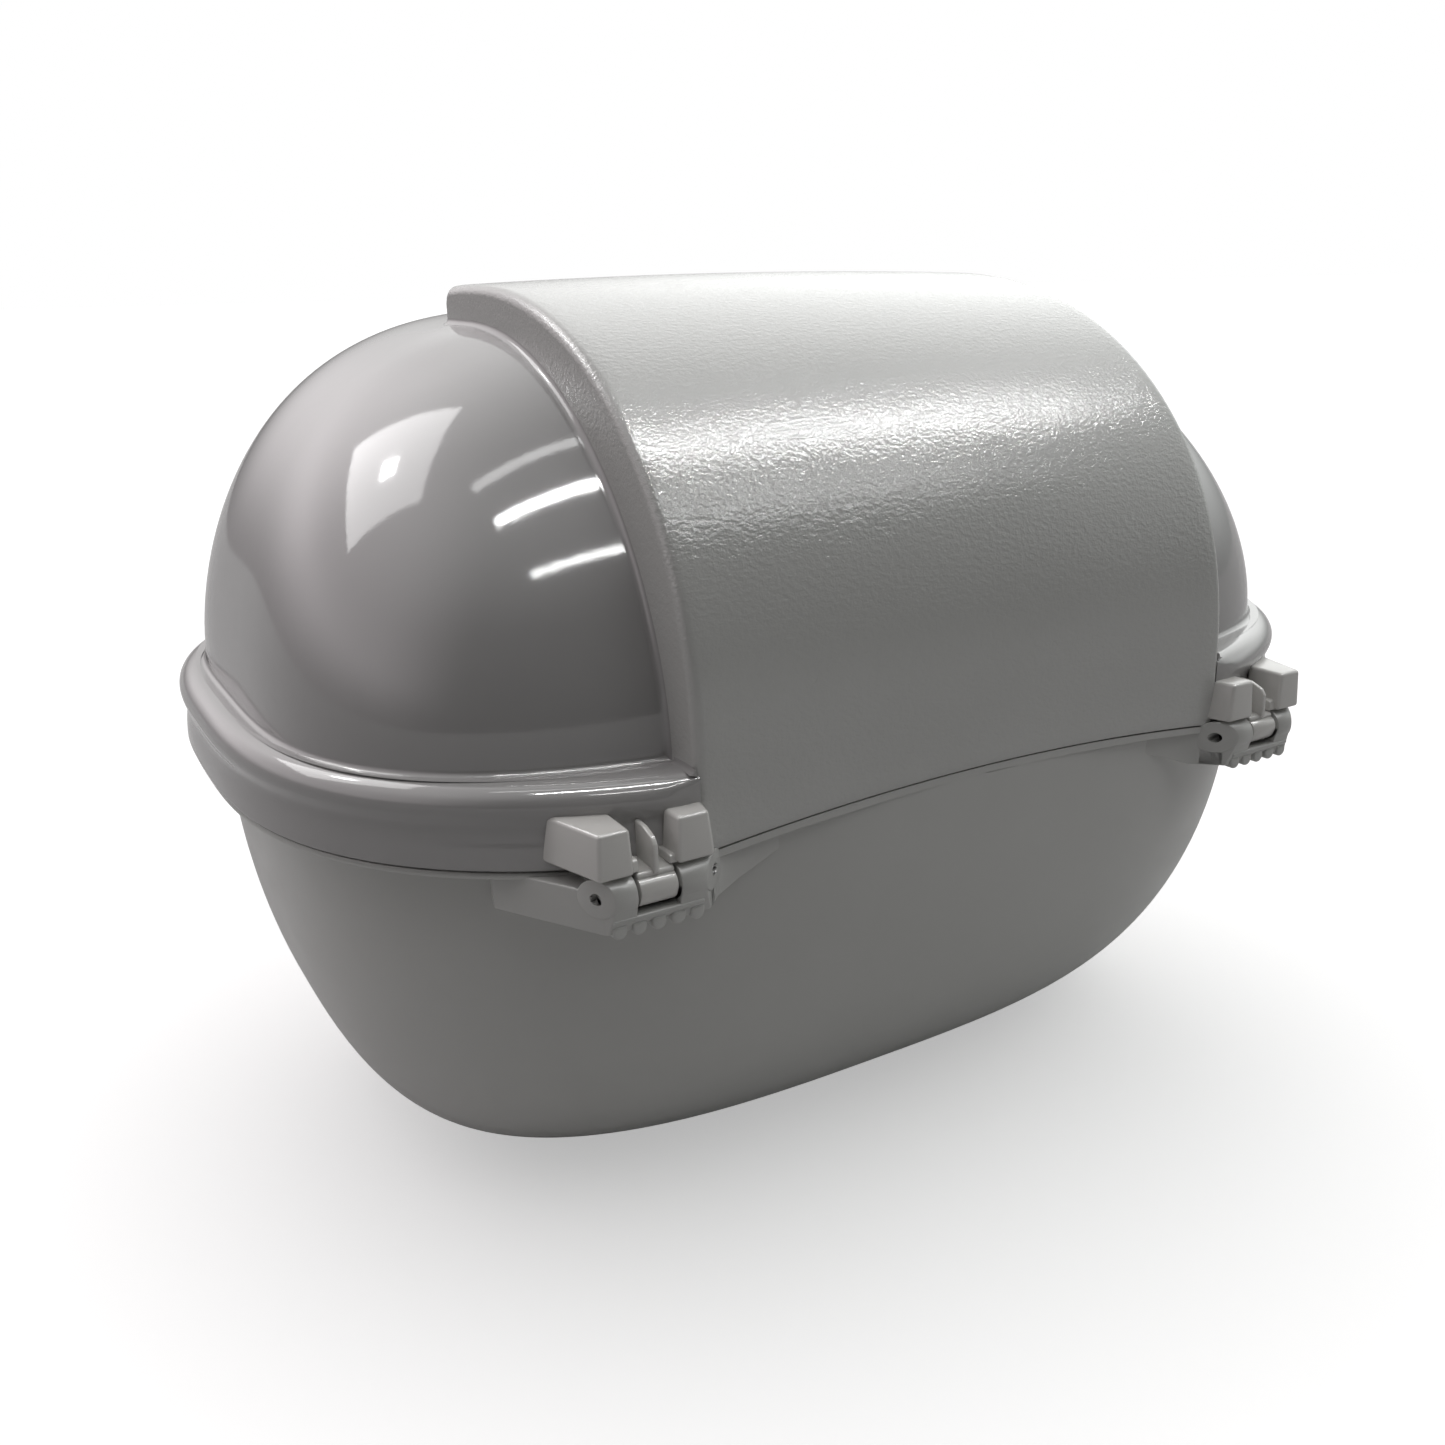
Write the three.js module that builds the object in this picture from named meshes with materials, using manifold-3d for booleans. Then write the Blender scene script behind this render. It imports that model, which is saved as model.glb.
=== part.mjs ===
// Cat litter box with a hinged hood, in millimetres, +Z up.
// +X is the left end seen from the hinge side, +Y is the hinge side, the entrance faces -Y,
// and the origin is the centre of the tray's flat base.
import * as THREE from 'three';
import { mergeVertices } from 'three/addons/utils/BufferGeometryUtils.js';
import Module from 'manifold-3d';

const wasm = await Module();
wasm.setup();

// ---------- driving dimensions ----------
const WALL = 3;                 // moulded wall of the tray and the hood
const SEAM_Z = 198.5;           // top of the tray's flange, where the two mouldings part
const SEAM_GAP = 0.8;           // from the flange up to the hood's skirt
const SEAM_ARCH = 8.3;          // rise of the parting line at the middle of the hinge side
const SEGMENTS = 56;            // facets around each superellipse outline

// Plan outlines are superellipses: half length a, half depth b, exponent n.
const RIM = { a: 280, b: 220.4, n: 2.76 };
const RIM_EDGE_Z = 224;         // widest line of the hood's rim
const SHOULDER_Z = 231;         // ledge between the rim and the domes

const TRAY_BASE = { a: 125, b: 60, n: 3 };
const TRAY_TOP = { a: 263, b: 204.9, n: 2.8 };
const TRAY_END_CURVE = [2.2, 2.9];    // roundness of the boat-shaped ends
const TRAY_SIDE_CURVE = [1.85, 2];    // roundness of the long sides
const FLANGE = 3;                     // thickness of the tray's flange
const UPSTAND = 7.5;                  // height of the tray's lip inside the skirt

const DOME = { a: 263.8, b: 190, n: 3.5, height: 168, swell: 1.81, round: 3.42 };
const DOME_LEAN = 47;           // how far the crest stands forward of the centre
const DOME_LEAN_POWER = 2.1;
const DOME_FLAT = 8;            // how much the very top is flattened
const DOME_FLAT_POWER = 30;

const BAND = { half: 139.2, depth: 205.5, baseZ: 230, height: 174.7, n: 2.22 };
const BAND_WALL = 3.2;
const BAND_CROWN = 2.6;         // rise of the band at its middle
const BAND_FRONT = -30;         // where the raised band ends, just past the crest
const BAND_EDGE = 4;            // round-over of the band's long edges

const PORTAL = { half: 120, bottom: 141, top: 352, front: -212, back: -150, corner: 42 };
const PORTAL_WALL = 3.5;
const PORTAL_SILL_BACK = -186;  // rear edge of the sill, over the tray's cut-out
const ENTRANCE = { half: 100, bottom: 152, top: 338, corner: 30 };

const AXIS = { y: 209.5, z: 194.6 };      // hinge pins; the front clip bars mirror them
const PIN_R = 2;
const PIN_FIT = 0.35;
const BARREL_R = 7.5;
const CLIP_R = 6.2;
const CLIP_MOUTH = 4.3;
// Stations along X of one hinge or clip unit, for the +X side.
const UNIT = { earIn: [140.2, 152.6], clip: [153.8, 169], earOut: [170.4, 183] };
const BLOCK_IN = [138.6, 153];
const BLOCK_OUT = [170.6, 183.6, 199];
const BLOCK = { bottom: 202.9, top: 220.8, face: 215.4, root: 186 };
const RIB = [160.2, 162.8];

const FLAP_AXIS = { y: -205, z: 318 };
const FLAP = { half: 93.5, bottom: 158.8, thick: 3, barrel: 4, corner: 26 };
const FRAME = { inset: 0.5, wall: 4.5, flange: 5, back: -196, lip: 2.6, headroom: 5.5 };
const FLAP_PIN = { r: 1.8, from: 84, to: 98.6 };

const FILTER = { halfX: 76, y: [-12, 88], z: [376, 385] };
const VENT = { count: 5, width: 26, height: 4.4, pitch: 34, z: 396.4 };

// ---------- geometry helpers ----------
const lerp = THREE.MathUtils.lerp;
const power = (value, exponent) => Math.sign(value) * Math.abs(value) ** exponent;

function toSolid(geometry) {
  const bare = geometry.clone();
  bare.deleteAttribute('normal');
  bare.deleteAttribute('uv');
  const merged = mergeVertices(bare, 1e-3);
  return new wasm.Manifold(new wasm.Mesh({
    numProp: 3,
    vertProperties: new Float32Array(merged.attributes.position.array),
    triVerts: new Uint32Array(merged.index.array),
  }));
}

function toGeometry(solid) {
  const mesh = solid.getMesh();
  const geometry = new THREE.BufferGeometry();
  geometry.setAttribute('position', new THREE.BufferAttribute(mesh.vertProperties, 3));
  geometry.setIndex(new THREE.BufferAttribute(mesh.triVerts, 1));
  geometry.computeVertexNormals();
  return geometry;
}

function warp(geometry, move) {
  const place = geometry.attributes.position;
  const point = new THREE.Vector3();
  for (let i = 0; i < place.count; i++) {
    point.fromBufferAttribute(place, i);
    move(point);
    place.setXYZ(i, point.x, point.y, point.z);
  }
  return geometry;
}

// A closed solid of superellipse rows, given from the bottom centre round to the top centre.
// Each row may stop short of a flat at the rear or the front of the outline.
function lathed(rows, bend = () => {}) {
  const profile = rows.map((row, i) => new THREE.Vector2(row.a, i));
  const geometry = new THREE.LatheGeometry(profile, SEGMENTS);
  const place = geometry.attributes.position;
  const point = new THREE.Vector3();
  for (let i = 0; i < place.count; i++) {
    const row = rows[i % rows.length];
    const angle = (Math.floor(i / rows.length) % SEGMENTS) / SEGMENTS * 2 * Math.PI;
    const y = (row.y ?? 0) - row.b * power(Math.cos(angle), 2 / row.n);
    point.set(row.a * power(Math.sin(angle), 2 / row.n),
      THREE.MathUtils.clamp(y, row.front ?? -Infinity, row.rear ?? Infinity), row.z);
    bend(point);
    place.setXYZ(i, point.x, point.y, point.z);
  }
  return toSolid(geometry);
}

const along = {
  x: new THREE.Matrix4().makeBasis(new THREE.Vector3(0, 1, 0), new THREE.Vector3(0, 0, 1),
    new THREE.Vector3(1, 0, 0)),
  y: new THREE.Matrix4().makeBasis(new THREE.Vector3(1, 0, 0), new THREE.Vector3(0, 0, 1),
    new THREE.Vector3(0, -1, 0)),
  z: new THREE.Matrix4(),
};

// Shape drawn in (y, z), (x, z) or (x, y), extruded from low to high along the axis named.
function extruded(shape, axis, low, high, options = {}) {
  const depth = high - low;
  const geometry = new THREE.ExtrudeGeometry(shape, { depth, bevelEnabled: false, ...options });
  geometry.applyMatrix4(along[axis]);
  const start = axis === 'y' ? high : low;
  return geometry.translate(axis === 'x' ? start : 0, axis === 'y' ? start : 0,
    axis === 'z' ? start : 0);
}

const polygon = (points) => new THREE.Shape(points.map(([u, v]) => new THREE.Vector2(u, v)));
const prism = (points, axis, low, high) => toSolid(extruded(polygon(points), axis, low, high));

function rodX(radius, low, high, y, z, facets = 18) {
  const geometry = new THREE.CylinderGeometry(radius, radius, high - low, facets);
  return geometry.rotateZ(Math.PI / 2).translate((low + high) / 2, y, z);
}

function box(x, y, z) {
  const geometry = new THREE.BoxGeometry(x[1] - x[0], y[1] - y[0], z[1] - z[0]);
  return toSolid(geometry.translate((x[0] + x[1]) / 2, (y[0] + y[1]) / 2, (z[0] + z[1]) / 2));
}

// A rounded rectangle in (x, z), centred on x = 0.
function roundedShape(half, bottom, top, corner, topCorner) {
  const shape = new THREE.Shape();
  shape.moveTo(-half + corner, bottom);
  shape.lineTo(half - corner, bottom);
  shape.absarc(half - corner, bottom + corner, corner, -Math.PI / 2, 0);
  shape.lineTo(half, top - topCorner);
  shape.absarc(half - topCorner, top - topCorner, topCorner, 0, Math.PI / 2);
  shape.lineTo(-half + topCorner, top);
  shape.absarc(-half + topCorner, top - topCorner, topCorner, Math.PI / 2, Math.PI);
  shape.lineTo(-half, bottom + corner);
  shape.absarc(-half + corner, bottom + corner, corner, Math.PI, 1.5 * Math.PI);
  return shape;
}

const roundedPlate = (half, bottom, top, corner, low, high, topCorner = corner) =>
  toSolid(extruded(roundedShape(half, bottom, top, corner, topCorner), 'y', low, high,
    { curveSegments: 5 }));

const union = (solids) => solids.reduce((sum, solid) => sum.add(solid));
const mirrorRange = (range, side) => (side > 0 ? range : [-range[1], -range[0]]);

// ---------- shapes that both mouldings share ----------
// Height that the parting line gains on the hinge side, between the band's edges.
function seamRise(point) {
  const across = 1 - (point.x / BAND.half) ** 2;
  return point.y > 0 ? SEAM_ARCH * Math.max(across, 0) : 0;
}

// The rise dies out between the seam and the shoulder.
const seamShare = (z) => THREE.MathUtils.clamp((SHOULDER_Z - z) / (SHOULDER_Z - SEAM_Z), 0, 1);

function rimRow(inset, z, limits = {}) {
  return { a: RIM.a - inset, b: RIM.b - inset, n: RIM.n, z, ...limits };
}

// ---------- tray ----------
function trayRow(t, inset, z, limits = {}) {
  const end = (1 - (1 - t) ** TRAY_END_CURVE[0]) ** (1 / TRAY_END_CURVE[1]);
  const side = (1 - (1 - t) ** TRAY_SIDE_CURVE[0]) ** (1 / TRAY_SIDE_CURVE[1]);
  return {
    a: lerp(TRAY_BASE.a, TRAY_TOP.a, end) - inset,
    b: lerp(TRAY_BASE.b, TRAY_TOP.b, side) - inset,
    n: lerp(TRAY_BASE.n, TRAY_TOP.n, t), z, ...limits,
  };
}

function trayUnit(sideX, sideY) {
  const y = (value) => sideY * value;
  const [low, high] = mirrorRange([UNIT.earIn[0], UNIT.earOut[1]], sideX);
  const web = prism([[176, 176], [207, 176.8], [214.6, 181], [216.4, 186.5], [209.5, 192.6],
    [199, 198.3], [176, 198.3]].map(([u, v]) => [y(u), v]), 'x', low, high);
  const fairing = prism([[92, 184], [141, 213], [183, 213], [205, 158], [110, 150]]
    .map(([u, v]) => [sideX * u, y(v)]), 'z', 178, 189);
  const ears = [UNIT.earIn, UNIT.earOut].map((range) =>
    toSolid(rodX(BARREL_R, ...mirrorRange(range, sideX), y(AXIS.y), AXIS.z)));
  return union([web, fairing, ...ears]);
}

function trayUnitCuts(sideX, sideY) {
  const room = mirrorRange([UNIT.earIn[1], UNIT.earOut[0]], sideX);
  const recess = toSolid(rodX(BARREL_R + 0.2, ...room, sideY * AXIS.y, AXIS.z));
  const mouth = box(room, [200, 224].map((v) => sideY * v).sort((p, q) => p - q),
    [AXIS.z - 5, AXIS.z + 12]);
  const bore = toSolid(rodX(PIN_R + PIN_FIT, ...mirrorRange([134, 190], sideX),
    sideY * AXIS.y, AXIS.z));
  return union([recess, mouth, bore]);
}

function makeTray() {
  const flangeZ = SEAM_Z - FLANGE;
  const outside = { rear: TRAY_TOP.b };
  const lip = { rear: 201.2 };
  const inside = { rear: 198.6 };
  const steps = [0, 0.012, 0.05, 0.12, 0.23, 0.36, 0.5, 0.66, 0.83, 1];
  const rows = [{ a: 0, b: 0, n: 2, z: 0 }];
  for (const t of steps) rows.push(trayRow(t, 0, flangeZ * t));
  rows.push(rimRow(1.5, flangeZ, outside), rimRow(1.5, SEAM_Z, outside));
  rows.push(rimRow(6.4, SEAM_Z, lip), rimRow(6.4, SEAM_Z + UPSTAND, lip));
  rows.push(rimRow(8.8, SEAM_Z + UPSTAND, inside), rimRow(8.8, SEAM_Z, inside));
  for (const t of [...steps].reverse()) {
    const z = t === 1 ? SEAM_Z : Math.max(flangeZ * t, WALL);
    if (t > 0.012) rows.push(trayRow(t, WALL, z, { rear: 196.4 }));
  }
  rows.push({ a: 0, b: 0, n: 2, z: WALL });
  const basin = lathed(rows, (point) => {
    const share = THREE.MathUtils.smoothstep(point.z, 150, flangeZ);
    point.z += seamRise(point) * share;
  });
  const units = [];
  const cuts = [];
  for (const sideX of [1, -1]) {
    for (const sideY of [1, -1]) {
      units.push(trayUnit(sideX, sideY));
      cuts.push(trayUnitCuts(sideX, sideY));
    }
  }
  const hollow = lathed([{ a: 0, b: 0, n: 2, z: 20 }, trayRow(0.2, WALL, 20), trayRow(0.5, WALL, 98),
    trayRow(0.85, WALL, 167), trayRow(1, WALL, 210, { rear: 196.4 }), { a: 0, b: 0, n: 2, z: 210 }]);
  const doorway = roundedPlate(PORTAL.half + 0.6, PORTAL.bottom - 0.8, 300, PORTAL.corner - 12,
    -260, -150);
  return basin.add(union(units).subtract(hollow)).subtract(union(cuts)).subtract(doorway);
}

// ---------- hood ----------
function domeRow(reach, inset) {
  const t = (1 - reach ** DOME.round) ** (1 / DOME.swell);
  const z = SHOULDER_Z + DOME.height * t - DOME_FLAT * t ** DOME_FLAT_POWER;
  return {
    a: Math.max(DOME.a * reach - inset * Math.min(1, 4 * reach), 0),
    b: Math.max(DOME.b * reach - inset * Math.min(1, 4 * reach), 0),
    n: DOME.n, z: z - inset * t, y: -DOME_LEAN * t ** DOME_LEAN_POWER,
  };
}

function ledgeRow(share, z, inset, limits) {
  return {
    a: lerp(DOME.a, RIM.a, share) - inset, b: lerp(DOME.b, RIM.b, share) - inset,
    n: lerp(DOME.n, RIM.n, share), z, ...limits,
  };
}

const REACH = Array.from({ length: 12 }, (_, i) => Math.cos(i / 11 * Math.PI / 2));

function domeOutside() {
  const flats = { rear: BAND.depth - 0.4, front: PORTAL.front + 0.3 };
  const bottom = SEAM_Z + SEAM_GAP;
  const rows = [{ a: 0, b: 0, n: 2, z: bottom }, rimRow(0.4, bottom, flats),
    rimRow(0.9, RIM_EDGE_Z - 8, flats), rimRow(0, RIM_EDGE_Z - 4, flats),
    rimRow(0, RIM_EDGE_Z, flats), rimRow(1.2, RIM_EDGE_Z + 4, flats),
    rimRow(4.2, SHOULDER_Z - 0.6, flats), ledgeRow(0.45, SHOULDER_Z + 0.6, 0, flats),
    ledgeRow(0.1, SHOULDER_Z - 0.8, 0, flats)];
  for (const reach of REACH) rows.push(domeRow(reach, 0));
  return lathed(rows, (point) => {
    point.z += seamRise(point) * seamShare(point.z);
  });
}

function domeInside() {
  const flats = { rear: BAND.depth - BAND_WALL, front: PORTAL.front + PORTAL_WALL };
  const below = SEAM_Z - 9;
  const rows = [{ a: 0, b: 0, n: 2, z: below }, rimRow(WALL, below, flats),
    rimRow(WALL, SHOULDER_Z - 6, flats), ledgeRow(0.75, SHOULDER_Z - WALL + 0.3, WALL, flats),
    ledgeRow(0, SHOULDER_Z - WALL, WALL, flats)];
  for (const reach of REACH.slice(1)) rows.push(domeRow(reach, WALL));
  return lathed(rows);
}

// Section of the raised band in (y, z): up the hinge side, over the crest, down its front wall.
function bandShape(depth, height, front, bottom, corner) {
  const shape = new THREE.Shape();
  const at = (y) => BAND.baseZ + height * (1 - Math.abs(y / depth) ** BAND.n) ** (1 / BAND.n);
  shape.moveTo(depth, bottom);
  for (const part of [0, 8, 16, 24, 32, 41, 50, 59, 68, 77, 86, 90]) {
    const angle = THREE.MathUtils.degToRad(part);
    const y = depth * power(Math.cos(angle), 2 / BAND.n);
    shape.lineTo(y, BAND.baseZ + height * power(Math.sin(angle), 2 / BAND.n));
  }
  shape.lineTo(front + corner, at(front + corner));
  shape.quadraticCurveTo(front, at(front), front, at(front) - corner);
  shape.lineTo(front, bottom);
  return shape;
}

function bandSolid(inset, half, bottom, edge) {
  const shape = bandShape(BAND.depth - inset, BAND.height - inset, BAND_FRONT + inset, bottom,
    9 - inset);
  const bevel = edge > 0 ? { bevelEnabled: true, bevelThickness: edge, bevelSize: edge,
    bevelOffset: -edge, bevelSegments: 2 } : {};
  const geometry = extruded(shape, 'x', -half + edge, half - edge,
    { steps: 6, curveSegments: 3, ...bevel });
  return toSolid(warp(geometry, (point) => {
    const across = 1 - (point.x / BAND.half) ** 2;
    const up = THREE.MathUtils.clamp((point.z - BAND.baseZ) / BAND.height, 0, 1);
    point.z += BAND_CROWN * across * up + seamRise(point) * seamShare(point.z);
  }));
}

function hoodUnit(sideX, sideY) {
  const y = (value) => sideY * value;
  const plan = (points) => points.map(([u, v]) => [sideX * u, y(v)]);
  const inner = prism(plan([[BLOCK_IN[0], BLOCK.root], [BLOCK_IN[0], BLOCK.face - 1],
    [BLOCK_IN[0] + 1, BLOCK.face], [BLOCK_IN[1] - 1, BLOCK.face], [BLOCK_IN[1], BLOCK.face - 1],
    [BLOCK_IN[1], BLOCK.root]]), 'z', BLOCK.bottom, BLOCK.top);
  const outer = prism(plan([[BLOCK_OUT[0], BLOCK.root], [BLOCK_OUT[0], BLOCK.face - 1],
    [BLOCK_OUT[0] + 1, BLOCK.face], [BLOCK_OUT[1], BLOCK.face], [BLOCK_OUT[2], BLOCK.root - 8],
    [BLOCK_OUT[0], BLOCK.root - 8]]), 'z', BLOCK.bottom, BLOCK.top);
  const wide = mirrorRange(UNIT.clip, sideX);
  const ring = toSolid(rodX(CLIP_R, ...wide, y(AXIS.y), AXIS.z));
  const arm = prism([[186, 199.8], [AXIS.y, 199], [AXIS.y + 2, 200.5], [AXIS.y - 3, 203.6], [186, 206]]
    .map(([u, v]) => [y(u), v]), 'x', ...wide);
  const rib = prism([[186, 203], [214.5, 200], [216, 202], [215, 214], [213.4, 215.8], [199, 217.6],
    [186, 218]].map(([u, v]) => [y(u), v]), 'x', ...mirrorRange(RIB, sideX));
  return union([inner, outer, ring, arm, rib]);
}

function hoodUnitCuts(sideX, sideY) {
  const wide = mirrorRange([UNIT.clip[0] - 1, UNIT.clip[1] + 1], sideX);
  const bore = toSolid(rodX(PIN_R + PIN_FIT, ...wide, sideY * AXIS.y, AXIS.z));
  const centre = sideY * AXIS.y;
  const mouth = box(wide, [centre - CLIP_MOUTH / 2, centre + CLIP_MOUTH / 2],
    [AXIS.z - CLIP_R - 2, AXIS.z]);
  const ears = [UNIT.earIn, UNIT.earOut].map(([low, high]) => toSolid(rodX(BARREL_R + 0.6,
    ...mirrorRange([low - 0.6, high + 0.6], sideX), centre, AXIS.z)));
  return union([bore, mouth, ...ears]);
}

function makeHood() {
  const bottom = SEAM_Z + SEAM_GAP;
  const portal = roundedPlate(PORTAL.half, PORTAL.bottom, PORTAL.top, PORTAL.corner,
    PORTAL.front, PORTAL.back).subtract(box([-150, 150], [PORTAL_SILL_BACK, -100], [100, bottom]));
  const portalInside = roundedPlate(PORTAL.half - PORTAL_WALL, PORTAL.bottom + PORTAL_WALL,
    PORTAL.top - PORTAL_WALL, PORTAL.corner - PORTAL_WALL, PORTAL.front + PORTAL_WALL,
    PORTAL.back + 20);
  const entrance = roundedPlate(ENTRANCE.half, ENTRANCE.bottom, ENTRANCE.top, ENTRANCE.corner,
    PORTAL.front - 5, PORTAL.front + 20);
  const units = [];
  const cuts = [];
  for (const sideX of [1, -1]) {
    for (const sideY of [1, -1]) {
      units.push(hoodUnit(sideX, sideY));
      cuts.push(hoodUnitCuts(sideX, sideY));
    }
  }
  for (let i = 0; i < VENT.count; i++) {
    const x = (i - (VENT.count - 1) / 2) * VENT.pitch;
    cuts.push(box([x - VENT.width / 2, x + VENT.width / 2], [BAND_FRONT - 3, BAND_FRONT + 6],
      [VENT.z - VENT.height / 2, VENT.z + VENT.height / 2]));
  }
  const outside = union([domeOutside(), bandSolid(0, BAND.half, bottom, BAND_EDGE), portal,
    ...units]);
  const inside = union([domeInside(), bandSolid(BAND_WALL, BAND.half - BAND_WALL, SEAM_Z - 20, 0),
    portalInside, entrance, ...cuts]);
  return outside.subtract(inside);
}

// ---------- entrance ----------
function makeEntranceFrame() {
  const { inset, wall, flange, back, lip } = FRAME;
  const sleeve = roundedPlate(ENTRANCE.half - inset, ENTRANCE.bottom + inset, ENTRANCE.top - inset,
    ENTRANCE.corner, PORTAL.front - 1, back);
  const rim = roundedPlate(ENTRANCE.half + flange, ENTRANCE.bottom - flange,
    ENTRANCE.top + flange, ENTRANCE.corner + flange, PORTAL.front - 0.4 - lip, PORTAL.front - 0.4);
  const hole = roundedPlate(ENTRANCE.half - inset - wall, ENTRANCE.bottom + inset + wall,
    FLAP_AXIS.z + FRAME.headroom, ENTRANCE.corner - wall, PORTAL.front - 10, back + 5, 3);
  const bores = [1, -1].map((side) => toSolid(rodX(FLAP_PIN.r + 0.3,
    ...mirrorRange([90, FLAP_PIN.to + 3], side), FLAP_AXIS.y, FLAP_AXIS.z, 16)));
  return sleeve.add(rim).subtract(union([hole, ...bores]));
}

function makeFlap() {
  const plate = roundedPlate(FLAP.half, FLAP.bottom, FLAP_AXIS.z, FLAP.corner,
    FLAP_AXIS.y - FLAP.thick / 2, FLAP_AXIS.y + FLAP.thick / 2, 1);
  const barrel = toSolid(rodX(FLAP.barrel, -FLAP.half, FLAP.half, FLAP_AXIS.y, FLAP_AXIS.z, 16));
  const bores = [1, -1].map((side) => toSolid(rodX(FLAP_PIN.r + 0.3,
    ...mirrorRange([FLAP_PIN.from - 1, 100], side), FLAP_AXIS.y, FLAP_AXIS.z, 16)));
  return union([plate, barrel]).subtract(union(bores));
}

// ---------- odour filter ----------
function makeFilterHolder() {
  const { halfX, y, z } = FILTER;
  const side = 2.5;
  const cradle = box([-halfX - side, halfX + side], [y[0] - side, y[1] + side], [z[0] - 3, z[1] + 1]);
  const seat = box([-halfX - 0.4, halfX + 0.4], [y[0] - 0.4, y[1] + 0.4], [z[0] - 0.4, z[1] + 5]);
  const slots = [];
  for (let i = -3; i <= 3; i++) {
    slots.push(box([i * 21 - 7, i * 21 + 7], [y[0] + 9, y[1] - 9], [z[0] - 10, z[1]]));
  }
  return cradle.subtract(union([seat, ...slots]));
}

function makeFilterPad() {
  return box([-FILTER.halfX, FILTER.halfX], FILTER.y, FILTER.z);
}

// ---------- assembly ----------
const finish = {
  hood: new THREE.MeshStandardMaterial({ color: 0xe9e6e2, roughness: 0.22, metalness: 0 }),
  tray: new THREE.MeshStandardMaterial({ color: 0xe4e2de, roughness: 0.34, metalness: 0 }),
  pin: new THREE.MeshStandardMaterial({ color: 0xdedbd2, roughness: 0.3, metalness: 0 }),
  flap: new THREE.MeshStandardMaterial({ color: 0xb9bec2, roughness: 0.15, metalness: 0 }),
  filter: new THREE.MeshStandardMaterial({ color: 0x2b2b2c, roughness: 0.95, metalness: 0 }),
};

const litterBox = new THREE.Group();

function addPart(name, solid, material) {
  const mesh = new THREE.Mesh(toGeometry(solid), material);
  mesh.name = name;
  litterBox.add(mesh);
}

addPart('tray', makeTray(), finish.tray);
addPart('hood', makeHood(), finish.hood);
const sides = [['left', 1], ['right', -1]];
for (const [side, sign] of sides) {
  const span = mirrorRange([141, 182], sign);
  addPart(`hinge_pin_${side}`, toSolid(rodX(PIN_R, ...span, AXIS.y, AXIS.z, 16)), finish.pin);
  addPart(`front_clip_bar_${side}`, toSolid(rodX(PIN_R, ...span, -AXIS.y, AXIS.z, 16)), finish.pin);
  addPart(`flap_pin_${side}`, toSolid(rodX(FLAP_PIN.r,
    ...mirrorRange([FLAP_PIN.from, FLAP_PIN.to], sign), FLAP_AXIS.y, FLAP_AXIS.z, 12)), finish.pin);
}
addPart('entrance_frame', makeEntranceFrame(), finish.hood);
addPart('entrance_flap', makeFlap(), finish.flap);
addPart('filter_holder', makeFilterHolder(), finish.tray);
addPart('carbon_filter', makeFilterPad(), finish.filter);

export default litterBox;
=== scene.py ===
# Cat litter box with a hinged hood. Lengths are written in millimetres and become metres in the meshes.
# +X is the left end seen from the hinge side, +Y is the hinge side and the entrance faces -Y.
import math

import bmesh
import bpy
from mathutils import Matrix, Vector


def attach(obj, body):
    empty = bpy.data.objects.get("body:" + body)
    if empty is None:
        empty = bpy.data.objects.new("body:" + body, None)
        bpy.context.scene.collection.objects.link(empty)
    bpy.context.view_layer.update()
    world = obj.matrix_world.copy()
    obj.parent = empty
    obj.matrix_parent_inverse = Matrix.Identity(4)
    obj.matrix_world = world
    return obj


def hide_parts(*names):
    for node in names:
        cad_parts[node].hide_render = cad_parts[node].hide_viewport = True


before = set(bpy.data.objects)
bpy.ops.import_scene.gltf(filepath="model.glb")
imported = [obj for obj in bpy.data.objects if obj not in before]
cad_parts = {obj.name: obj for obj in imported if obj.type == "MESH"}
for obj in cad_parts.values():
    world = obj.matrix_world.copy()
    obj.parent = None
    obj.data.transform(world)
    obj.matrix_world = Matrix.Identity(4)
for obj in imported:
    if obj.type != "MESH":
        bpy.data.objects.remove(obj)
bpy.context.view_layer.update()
scene = bpy.context.scene

# ---------- dimensions ----------
MM = 0.001
SHARP_ANGLE = 38                # degrees between faces that meet in a sharp edge
AROUND = 256                    # facets around each moulding
SEAM_Z = 198.5
SEAM_GAP = 0.8
SEAM_ARCH = 8.3
HOOD_BOTTOM = SEAM_Z + SEAM_GAP
SHOULDER_Z = 231.0
RIM_A, RIM_B, RIM_N = 280.0, 220.4, 2.76
RIM_FRONT, RIM_REAR = -211.7, 205.1

TRAY_BASE = (125.0, 60.0, 3.0)
TRAY_TOP = (263.0, 204.9, 2.8)
TRAY_END_CURVE = (2.2, 2.9)
TRAY_SIDE_CURVE = (1.85, 2.0)
TRAY_WALL = 3.0
FLANGE_Z = 195.5

DOME_A, DOME_B, DOME_N = 263.8, 190.0, 3.5
DOME_HEIGHT, DOME_SWELL, DOME_ROUND = 168.0, 1.81, 3.42
DOME_LEAN, DOME_LEAN_POWER = 47.0, 2.1
DOME_FLAT, DOME_FLAT_POWER = 5.6, 30
DOME_WALL = 3.0

BAND_HALF, BAND_DEPTH, BAND_BASE, BAND_HEIGHT, BAND_N = 139.2, 205.5, 230.0, 174.7, 2.22
BAND_WALL, BAND_CROWN, BAND_FRONT = 3.2, 2.6, -30.0
BAND_EDGE, BAND_CORNER = 4.5, 9.0
BAND_SINK = 1.5                 # how far the band's walls reach into the dome's wall
VENT_COUNT, VENT_WIDTH, VENT_HEIGHT, VENT_CORNER, VENT_PITCH, VENT_Z = 5, 26.0, 4.4, 2.0, 34.0, 396.4
BAND_CUT = 137.6                # half width of the dome cut away inside the band's walls

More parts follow.
